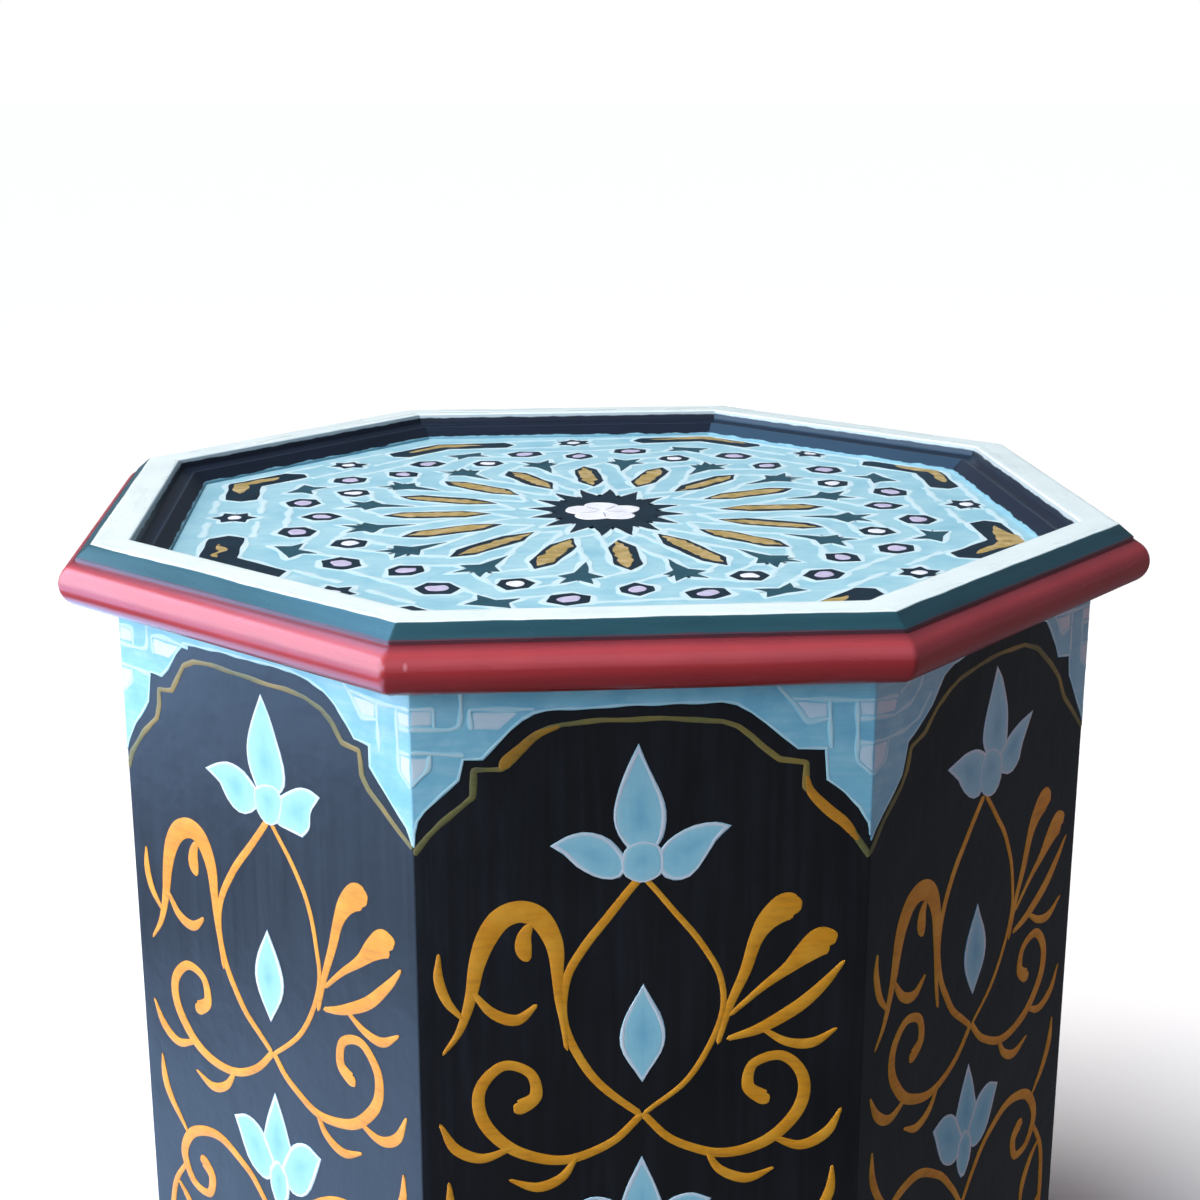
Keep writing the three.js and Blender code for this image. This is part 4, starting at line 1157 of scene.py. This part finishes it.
tray = {
    "ground": 0.2, "bottom": 0.02, "edge": 204.0, "innermost": 18, "rings": 12, "spokes": 64,
    "limit": 189.0, "soft": 180.0,
    "halo": 2.5, "haloCoat": 0.1, "lineCoat": 0.12, "black": 0.18, "fill": 0.26, "vein": 0.32,
    "lineWidth": 3.8, "tremor": 0.45, "tremorWave": 23,
    "petalMiddle": 81.5, "longPetals": {10: 1.08, 13: 1.2, 11: 1.05},
    "sun": (28, 44.5), "sunStretch": (0.86, 1.12),
    "cellSwell": 0.35, "cellBeat": 0.37, "lineSwell": 0.3, "lineBeat": 0.6,
    "fillSpacing": 1.3, "fillCut": 0.5, "fillTremor": 0.5, "fillWave": 9.0,
    "dotSteps": 18, "dotBumps": (0.08, 0.05),
    "goldTremor": 0.9, "goldLength": 0.86, "goldShare": 0.60, "goldSway": 0.08, "goldLean": 0.9,
    "flameTremor": 0.8, "flameWave": 13.0,
    "lobes": 5, "lobeTurn": 18, "lobeTremor": 0.4, "lobeWave": 11.0, "lobeBump": 0.05,
    "rosette": -1.5, "lobeOut": 10.5, "lobe": 8.7, "lobeSteps": 22, "lobeOver": 0.01,
    "hub": 4, "hubOver": 0.055, "ridge": (2.5, 12.5), "ridgeWidth": 0.9,
}
flame = {"elbow": 176.5, "arm": 34.0, "width": 8.5, "wider": {1: 1.15, 7: 1.3, 13: 1.15, 15: 1.5},
         "nearer": {13: 5.0}, "steps": 40, "dabCell": 9, "dabWidth": 5.6, "dabSteps": 30, "least": 0.3}
starCount = 16
wedge = 2 * math.pi / starCount
# each layer's material and slot
trayCoats = {
    "trayGround": (trayGroundPaint, "top_paint"), "trayLines": (trayLinePaint, "line_paint"),
    "trayCells": (blackCellPaint, "panel_paint"), "traySlate": (slateCellPaint, "panel_paint"),
    "trayGold": (goldPaint, "gold_paint"), "trayLilac": (lilacPaint, "lilac_paint"),
    "trayDots": (whiteDotPaint, "line_paint"), "trayVeins": (veinPaint, "lilac_paint"),
}
# how far the star is bent: a cubic that a scratch program fitted, by least squares, to about a hundred
# points read off the photo by eye, here rounded to tenths; for each (power of x, power of y), with x to
# the right and y to the back in hundreds of mm, the offset in mm
fittedDrift = {
    (0, 0): (4.1, 2.0), (1, 0): (-3.0, 1.3), (0, 1): (-1.9, 1.2), (2, 0): (0.0, 0.2), (1, 1): (1.0, -0.1),
    (0, 2): (-0.7, -2.1), (3, 0): (0.8, -0.5), (2, 1): (0.8, 1.3), (1, 2): (0.7, 2.7), (0, 3): (0.4, 0.1),
}


def drifted(points):
    # adds the drift, then eases any point near the edge back inside it: beyond soft, the octagonal
    # distance d becomes soft + s (1 - exp(-(d - soft) / s))
    points = np.asarray(points, float)
    x, y = points[:, 0] / 100, points[:, 1] / 100
    powers = np.stack([x ** i * y ** j for i, j in fittedDrift], 1)
    moved = points + powers @ np.array(list(fittedDrift.values()))
    angles = np.arange(sideCount) * 2 * halfAngle
    reach = (moved @ np.stack([np.cos(angles), np.sin(angles)])).max(1)
    room = tray["limit"] - tray["soft"]
    over = np.maximum(reach - tray["soft"], 0)
    eased = np.where(over > 0, tray["soft"] + room * (1 - np.exp(-over / room)), reach)
    return moved * (eased / np.maximum(reach, tiny))[:, None]


def onTray(points):
    # raises a coat's points onto the ground coat
    return points + [0, 0, plankTop + tray["ground"]]


def turned(points, angle):
    # (radial, across) pairs turned to the given direction
    points = np.asarray(points, float)
    c, s = math.cos(angle), math.sin(angle)
    return np.stack([points[:, 0] * c - points[:, 1] * s, points[:, 0] * s + points[:, 1] * c], 1)


def mirroredCell(points):
    # half outline from inner to outer tip, and its mirror image back
    points = np.array(points, float)
    low = points[::-1] * [1, -1]
    return counterClockwise(np.vstack([points, low[low[:, 1] < -tiny]]))


def pointedRing(count, first, second):
    # points at two distances by turns round the origin: (r cos a, r sin a)
    a = np.arange(2 * count) * math.pi / count
    r = np.where(np.arange(2 * count) % 2 == 0, first, second)
    return np.stack([r * np.cos(a), r * np.sin(a)], 1)


def bentCell():
    # a long hexagon folded round a corner of the octagon, from the distances to its two sides
    low = turned([(167, 37.5), (174.5, 33), (182.5, 38.0), (182.5, 182.5 * halfTan)], -halfAngle)
    inner = turned([(167, 167 * halfTan)], -halfAngle)
    return counterClockwise(np.vstack([inner, low, (low[::-1] * [1, -1])[1:]]))


def ovalDot(centre, radial, across, skew=0.0):
    # an oval, (centre + radial cos a, across sin a), made uneven by waves of 2 a and 3 a, and leaning by skew
    a = np.linspace(0, 2 * math.pi, tray["dotSteps"], endpoint=False)
    double, triple = tray["dotBumps"]
    bump = 1 + double * np.sin(2 * a + centre) + triple * np.sin(3 * a + skew)
    return np.stack([centre + radial * bump * np.cos(a) + skew * np.sin(a), across * bump * np.sin(a)], 1)


cellShapes = {
    "petal": mirroredCell([(55.5, 0), (69, 6.6), (98, 6.2), (107.5, 0)]),
    "spike": mirroredCell([(93, 0), (110.5, 3.4), (116, 10.5), (119, 5.2), (127.5, 7.5), (121.5, 0)]),
    "headCorner": mirroredCell([(122.5, 0), (127.5, 8.0), (135, 7.8), (140.5, 0)]),
    "headMiddle": mirroredCell([(126, 0), (132, 7.4), (139, 7.2), (145.5, 0)]),
    "lozenge": mirroredCell([(139.5, 0), (143.5, 8.8), (152.5, 9), (157, 0)]),
    "butterfly": mirroredCell([(154, 0), (149, 9.5), (155.5, 6.8), (162.5, 10.5), (161.5, 0)]),
    "middleStar": pointedRing(6, 10.5, 6.6) + [175, 0],
    "bent": bentCell(),
}
# where the fan of faces of a notched or bent cell starts, and the oval dots: centre, half length and half
# width
cellCentres = {"spike": 114.5, "butterfly": 156, "middleStar": 175, "bent": 174.75 / math.cos(halfAngle)}
dots = {"lozenge": (148.2, 4.4, 4.9), "headCorner": (131.3, 4.3, 3.9), "headMiddle": (135.7, 4.6, 3.8),
        "middleStar": (175, 3.6, 3.6)}


def polar(*pairs):
    # (radius, degrees) pairs as (r cos a, r sin a)
    return [(r * math.cos(math.radians(a)), r * math.sin(math.radians(a))) for r, a in pairs]


# the white strap lines of each wedge: its ends, the turn in wedges and the seed; corner and middle wedges
# go by turns
strapLines = {
    "all": [(polar((44.5, 0), (69.3, 5.8)), 0.5, 1), (polar((69.3, -5.8), (93, 0)), 0.5, 2),
            (polar((44.5, 11.25), (55.5, 0)), 0, 3), (polar((107.5, 0), (116.5, -6.08)), 0, 1)],
    "corner": [(polar((116.5, 6.08), (122.5, 0)), 0, 2), (polar((127.7, -7.9), (135.2, -3.3)), 0, 2),
               (polar((143.8, -7.7), (149.3, -3.65)), 0, 3), (polar((127.7, 7.9), (135.2, 3.3)), 0, 4),
               (polar((143.8, 7.7), (149.3, 3.65)), 0, 5)],
    "middle": [(polar((116.5, 6.08), (126, 0)), 0, 2), ([(151, -22), (151, 22)], 0, 1),
               ([(164, 8), (164, 37)], 0, 2), ([(164, -8), (164, -37)], 0, 3),
               ([(185.5, 9), (185.5, 36)], 0, 4), ([(185.5, -9), (185.5, -36)], 0, 5)],
}


def flameFill(index):
    # the gold in a folded cell, a stroke along its outer half as wide as
    # w * sin(pi u) ** 0.6 * (0.8 + 0.2 sin(9 u + index)), which swells and flickers
    start, end = -0.86 + 0.1 * (index % 3), 0.88 - 0.12 * ((index * 5) % 3)
    t = np.linspace(start, end, flame["steps"])
    elbow = flame["elbow"] - flame["nearer"].get(index, 0.0)
    along = elbow * halfTan - np.abs(t) * flame["arm"]
    lower = turned(np.stack([np.full_like(t, elbow), along], 1), -halfAngle)
    path = np.where((t < 0)[:, None], lower, lower * [1, -1])
    u = (t - start) / (end - start)
    width = flame["width"] * flame["wider"].get(index, 1.0)
    width = width * np.sin(np.pi * u) ** 0.6 * (0.8 + 0.2 * np.sin(9 * u + index))
    return path, np.maximum(width, flame["least"])


def dabFill():
    # one folded cell has only a short ragged dab along one arm, as wide as
    # w * sin(pi u) ** 0.5 * (0.7 + 0.3 sin(11 u + 1)), which swells twice
    t = np.linspace(0.14, 0.76, flame["dabSteps"])
    u = np.linspace(0, 1, flame["dabSteps"])
    elbow = flame["elbow"] - 1 + 1.6 * np.sin(9 * u)
    path = turned(np.stack([elbow, flame["elbow"] * halfTan - t * flame["arm"]], 1), -halfAngle)
    width = flame["dabWidth"] * np.sin(np.pi * u) ** 0.5 * (0.7 + 0.3 * np.sin(11 * u + 1))
    return path, np.maximum(width, flame["least"])


def addCell(coats, shape, angle, seed, centre=None, layer="trayCells"):
    # a dark cell over a slightly larger white one, whose edge comes and goes
    outline = alongLine(turned(shape, angle), paintLayer["spacing"], paintLayer["cornerCut"], closed=True)
    outline = wobble(drifted(outline), tray["tremor"], tray["tremorWave"], seed)
    swell = tray["halo"] * (1 + tray["cellSwell"] * np.sin(np.arange(len(outline)) * tray["cellBeat"] + seed))
    wide = outline - lineNormals(outline, True) * swell[:, None]
    middle = None if centre is None else drifted(turned([(centre, 0.0)], angle))[0]
    coats["trayLines"].append(filmFan(wide, tray["haloCoat"], middle, stroke=True))
    coats[layer].append(filmFan(outline, tray["black"], middle))


def addFill(coats, layer, shape, angle, seed, tremor=tray["fillTremor"]):
    # a filled shape inside a cell
    outline = alongLine(turned(shape, angle), tray["fillSpacing"], tray["fillCut"], closed=True)
    outline = wobble(drifted(outline), tremor, tray["fillWave"], seed)
    coats[layer].append(filmFan(counterClockwise(outline), tray["fill"]))


def addStrap(coats, points, angle, seed):
    # a white strap line that swells and thins along its run
    path = alongLine(turned(points, angle), paintLayer["spacing"])
    path = wobble(drifted(path), tray["tremor"], tray["tremorWave"], seed)
    beat = np.arange(len(path)) * tray["lineBeat"] + seed
    swell = tray["lineWidth"] * (1 + tray["lineSwell"] * np.sin(beat))
    level = tray["lineCoat"] + 0.01 * (seed % 3)
    coats["trayLines"].append(filmRibbon(path, swell, level, drawn=False, stroke=True))


def paintCells(coats):
    # the sun in the middle, and the ring of cells round it, wedge by wedge
    addCell(coats, pointedRing(starCount, *tray["sun"]) * tray["sunStretch"], 0.0, 0.3, 0.0)
    for k in range(starCount):
        angle, between = k * wedge, k * wedge + wedge / 2
        stretch = tray["longPetals"].get(k, 1.0)
        petal = cellShapes["petal"] - [tray["petalMiddle"], 0]
        addCell(coats, petal * [stretch, 1.0] + [tray["petalMiddle"], 0], angle, k * 1.3)
        share = tray["goldShare"] + tray["goldSway"] * math.sin(k * 2.4)
        lean = tray["goldLean"] * math.sin(k * 1.9 + 1)
        fill = petal * [tray["goldLength"] * stretch, share] + [tray["petalMiddle"] - 0.5, lean]
        addFill(coats, "trayGold", fill, angle, k * 0.9, tray["goldTremor"])
        addCell(coats, cellShapes["spike"], between, k * 1.7 + 1, cellCentres["spike"], "traySlate")
        addCell(coats, cellShapes["lozenge"], between, k * 0.8 + 2)
        addFill(coats, "trayLilac", ovalDot(*dots["lozenge"], 0.6 * math.sin(k)), between, k)
        if k % 2:
            addCell(coats, cellShapes["headCorner"], angle, k * 1.1 + 3)
            addFill(coats, "trayDots", ovalDot(*dots["headCorner"], 0.5 * math.sin(k * 2)), angle, k)
            addCell(coats, cellShapes["butterfly"], angle, k * 0.6 + 4, cellCentres["butterfly"], "traySlate")
            addCell(coats, cellShapes["bent"], angle, k * 0.5 + 5, cellCentres["bent"])
            path, width = dabFill() if k == flame["dabCell"] else flameFill(k)
            path = wobble(drifted(turned(path, angle)), tray["flameTremor"], tray["flameWave"], k)
            coats["trayGold"].append(filmRibbon(path, width, tray["fill"]))
        else:
            addCell(coats, cellShapes["headMiddle"], angle, k * 1.1 + 3)
            addFill(coats, "trayLilac", ovalDot(*dots["headMiddle"], 0.6 * math.sin(k * 3)), angle, k)
            addCell(coats, cellShapes["middleStar"], angle, k * 0.6 + 4, cellCentres["middleStar"])
            addFill(coats, "trayDots", ovalDot(*dots["middleStar"]), angle, k)


def paintStraps(coats):
    # the white lines between the cells, wedge by wedge
    for k in range(starCount):
        for ends, turn, seed in strapLines["all"] + strapLines["corner" if k % 2 else "middle"]:
            addStrap(coats, ends, k * wedge + turn * wedge, k + seed)


def paintRosette(coats):
    # the white lobes evenly round the middle, the grey lines between them and the hub
    centre, t = tray["rosette"], np.linspace(0, 2 * math.pi, tray["lobeSteps"], endpoint=False)
    circle = np.stack([np.cos(t), np.sin(t)], 1)
    spread = 360 / tray["lobes"]
    for index in range(tray["lobes"]):
        a = math.radians(tray["lobeTurn"] + spread * index)
        middle = np.array([centre + tray["lobeOut"] * math.cos(a), tray["lobeOut"] * math.sin(a)])
        lobe = middle + tray["lobe"] * circle * (1 + tray["lobeBump"] * np.sin(3 * t + index))[:, None]
        lobe = wobble(drifted(lobe), tray["lobeTremor"], tray["lobeWave"], index)
        coats["trayDots"].append(filmFan(lobe, tray["fill"] + tray["lobeOver"] * index))
        ridge = a + math.radians(spread / 2)
        line = [(centre + r * math.cos(ridge), r * math.sin(ridge)) for r in np.linspace(*tray["ridge"], 8)]
        coats["trayVeins"].append(filmRibbon(drifted(line), tray["ridgeWidth"], tray["vein"]))
    hub = drifted(tray["hub"] * circle + [centre, 0])
    coats["trayDots"].append(filmFan(hub, tray["fill"] + tray["hubOver"]))


def trayGround():
    # the octagonal ground coat: rings of radius r / cos(angle from the nearest side's middle)
    rings = np.concatenate([[0.0], np.linspace(tray["innermost"], tray["edge"], tray["rings"])])
    angles = np.arange(tray["spokes"]) * 2 * math.pi / tray["spokes"]
    octagon = 1 / np.cos((angles + halfAngle) % (2 * halfAngle) - halfAngle)
    top = np.stack([np.outer(rings, octagon * turn) for turn in (np.cos(angles), np.sin(angles))], -1)
    rows = np.concatenate([top[:1], top[-1:], top[::-1]])
    level = np.concatenate([[tray["bottom"] - tray["ground"]] * 2, np.zeros(len(rings))])
    grid = np.concatenate([rows, np.broadcast_to(level[:, None, None], rows.shape[:2] + (1,))], 2)
    return gridPart(grid, grid[:, :, :2] / metre)


coats = {name: [] for name in trayCoats}
coats["trayGround"].append(trayGround())
for paint in (paintCells, paintStraps, paintRosette):
    paint(coats)
layCoats(coats, trayCoats, onTray)
print("tray star painted")

# Carried-over pieces keep their shapes and take bare wood or zinc

for name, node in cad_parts.items():
    if name.startswith(("rim_moulding", "cove_strip", "side_panel")):
        continue
    finish = cedarAlong
    if name.startswith("top_screw"):
        finish = zinc
    elif name.startswith("corner_block"):
        finish = cedarUp
    node.data.materials.clear()
    node.data.materials.append(finish)
print("carried-over nodes finished")

# Floor, light and camera

# a light with "only" acts on gloss alone or on diffuse colour alone
studio = {
    "key": {"place": (-1.3, -0.55, 0.75), "aim": (0, -0.05, 0.36), "size": (1.3, 1.2), "power": 34.0,
            "colour": "#ffe4d2", "only": "diffuse"},
    "skyWall": {"place": (-1.5, -0.2, 0.85), "aim": (0, 0, 0.4), "size": (2.2, 1.3), "power": 62.0,
                "colour": "#b2dcff", "only": "gloss"},
    "skyFloor": {"place": (-2.25, -0.05, 0.001), "aim": (-2.25, -0.05, 1.0), "size": (2.2, 1.9),
                 "power": 61.0, "colour": "#9cc7ff", "only": "gloss"},
    "skyNear": {"place": (-0.5, -0.05, 0.001), "aim": (-0.5, -0.05, 1.0), "size": (0.42, 1.9), "power": 8.0,
                "colour": "#a4ccff", "only": "gloss"},
    "skyHigh": {"place": (-1.4, -0.1, 1.75), "aim": (0, 0, 0.44), "size": (1.4, 1.0), "power": 7.0,
                "colour": "#a8d4ff", "only": "gloss"},
    "skyBack": {"place": (-0.85, 0.57, 1.93), "aim": (0.12, 0.14, 0.45), "size": (0.9, 0.9), "power": 12.0,
                "colour": "#81cbff", "only": "gloss"},
    "skyFront": {"place": (0.2, -1.7, 1.75), "aim": (0, 0, 0.44), "size": (3.0, 1.2), "power": 6.0,
                 "colour": "#e6eeff", "only": "gloss"},
    "front": {"place": (-1.5, -2.2, 1.4), "aim": (0, 0, 0.4), "size": (1.4, 1.0), "power": 20.0,
              "colour": "#a8dcff"},
    "right": {"place": (1.6, 0.0, 0.12), "aim": (0.1, -0.1, 0.4), "size": (1.0, 0.8), "power": 8.5,
              "colour": "#ffbdb4", "only": "diffuse"},
}
sun = {"turn": (0.0, -27.0, 8.0), "spread": 38.0, "power": 3.1, "colour": "#ffffff"}
surroundings = {"ambient": ("#e2edfc", 0.15), "backdrop": ("#ffffff", 1.0)}
floorSheet = {"size": 60.0, "points": 9, "level": -0.0002, "colour": "#fefefe"}
camera = {"place": (-0.07480, -0.89649, 0.65505), "turn": (74.485, 0.0, -4.837), "lens": 58.54,
          "sensor": 36.0, "farthest": 50}


def addObject(name, data):
    # a new object in the scene
    made = bpy.data.objects.new(name, data)
    scene.collection.objects.link(made)
    return made


def addFloor(settings):
    # a flat square sheet, wide enough for its edge to fade into the backdrop
    count = settings["points"]
    line = np.linspace(-0.5, 0.5, count) * settings["size"]
    x, y = np.meshgrid(line, line, indexing="ij")
    points = np.stack([x, y, np.full_like(x, settings["level"])], -1).reshape(-1, 3)
    corner = (np.arange(count - 1)[:, None] * count + np.arange(count - 1)).ravel()
    faces = np.stack([corner, corner + count, corner + count + 1, corner + 1], 1)
    mesh = bpy.data.meshes.new("floor")
    mesh.from_pydata(points.tolist(), [], faces.tolist())
    floor = addObject("floor", mesh)
    material, tree = newMaterial("matt studio paper")
    place = addNode(tree, "TexCoord").outputs["Object"]
    fibre = addNode(tree, "TexNoise", {"Scale": patternScale(2.5), "Detail": 2.0}, {"Vector": place})
    relief = addNode(tree, "Bump", {"Strength": 0.05, "Distance": 0.0002}, {"Height": fibre})
    paper = {"Base Color": settings["colour"], "Roughness": 0.9, "Specular IOR Level": 0.0}
    finishMaterial(tree, paper, {"Normal": relief})
    mesh.materials.append(material)
    floor.visible_diffuse = False  # it takes shadows, but throws no light back up onto the stool
    floor.visible_glossy = False


def addLight(name, kind, settings):
    # the part of a light that a soft box and the sun have in common
    data = bpy.data.lights.new(name, kind)
    data.energy = settings["power"]
    data.color = linearColour(settings["colour"])[:3]
    return data, addObject(name, data)


def softBox(name, settings):
    # a rectangular light that looks from its place at its aim and is not itself seen
    data, light = addLight(name, "AREA", settings)
    data.shape = "RECTANGLE"
    data.size, data.size_y = settings["size"]
    light.location = settings["place"]
    light.rotation_euler = (Vector(settings["aim"]) - light.location).to_track_quat("-Z", "Y").to_euler()
    light.visible_camera = False
    light.visible_glossy = settings.get("only") != "diffuse"
    light.visible_diffuse = settings.get("only") != "gloss"


def softSun(name, settings):
    # even light from above, with the broad spread of a lit ceiling
    data, light = addLight(name, "SUN", settings)
    data.angle = math.radians(settings["spread"])
    light.rotation_euler = [math.radians(a) for a in settings["turn"]]
    light.visible_glossy = False  # its disc would show as a grey glare in the dark gloss


def addWorld(settings):
    # faint light from all round, and a plain bright backdrop that only the camera sees
    world = bpy.data.worlds.new("studio")
    world.use_nodes = True
    tree = world.node_tree
    tree.nodes.clear()
    seen = addNode(tree, "LightPath").outputs["Is Camera Ray"]
    around, behind = [addNode(tree, "Background", {"Color": colour, "Strength": strength})
                      for colour, strength in (settings["ambient"], settings["backdrop"])]
    either = addNode(tree, "MixShader", None, {0: seen, 1: around, 2: behind})
    addNode(tree, "OutputWorld", None, {"Surface": either})
    scene.world = world
    scene.view_settings.view_transform = "Standard"


def addCamera(settings):
    # the photograph's view
    data = bpy.data.cameras.new("camera")
    data.lens = settings["lens"]
    data.sensor_width = settings["sensor"]
    data.clip_end = settings["farthest"]
    eye = addObject("camera", data)
    eye.location = settings["place"]
    eye.rotation_euler = [math.radians(a) for a in settings["turn"]]
    scene.camera = eye


addFloor(floorSheet)
for name, settings in studio.items():
    softBox(name, settings)
softSun("sun", sun)
addWorld(surroundings)
addCamera(camera)
print("studio ready")
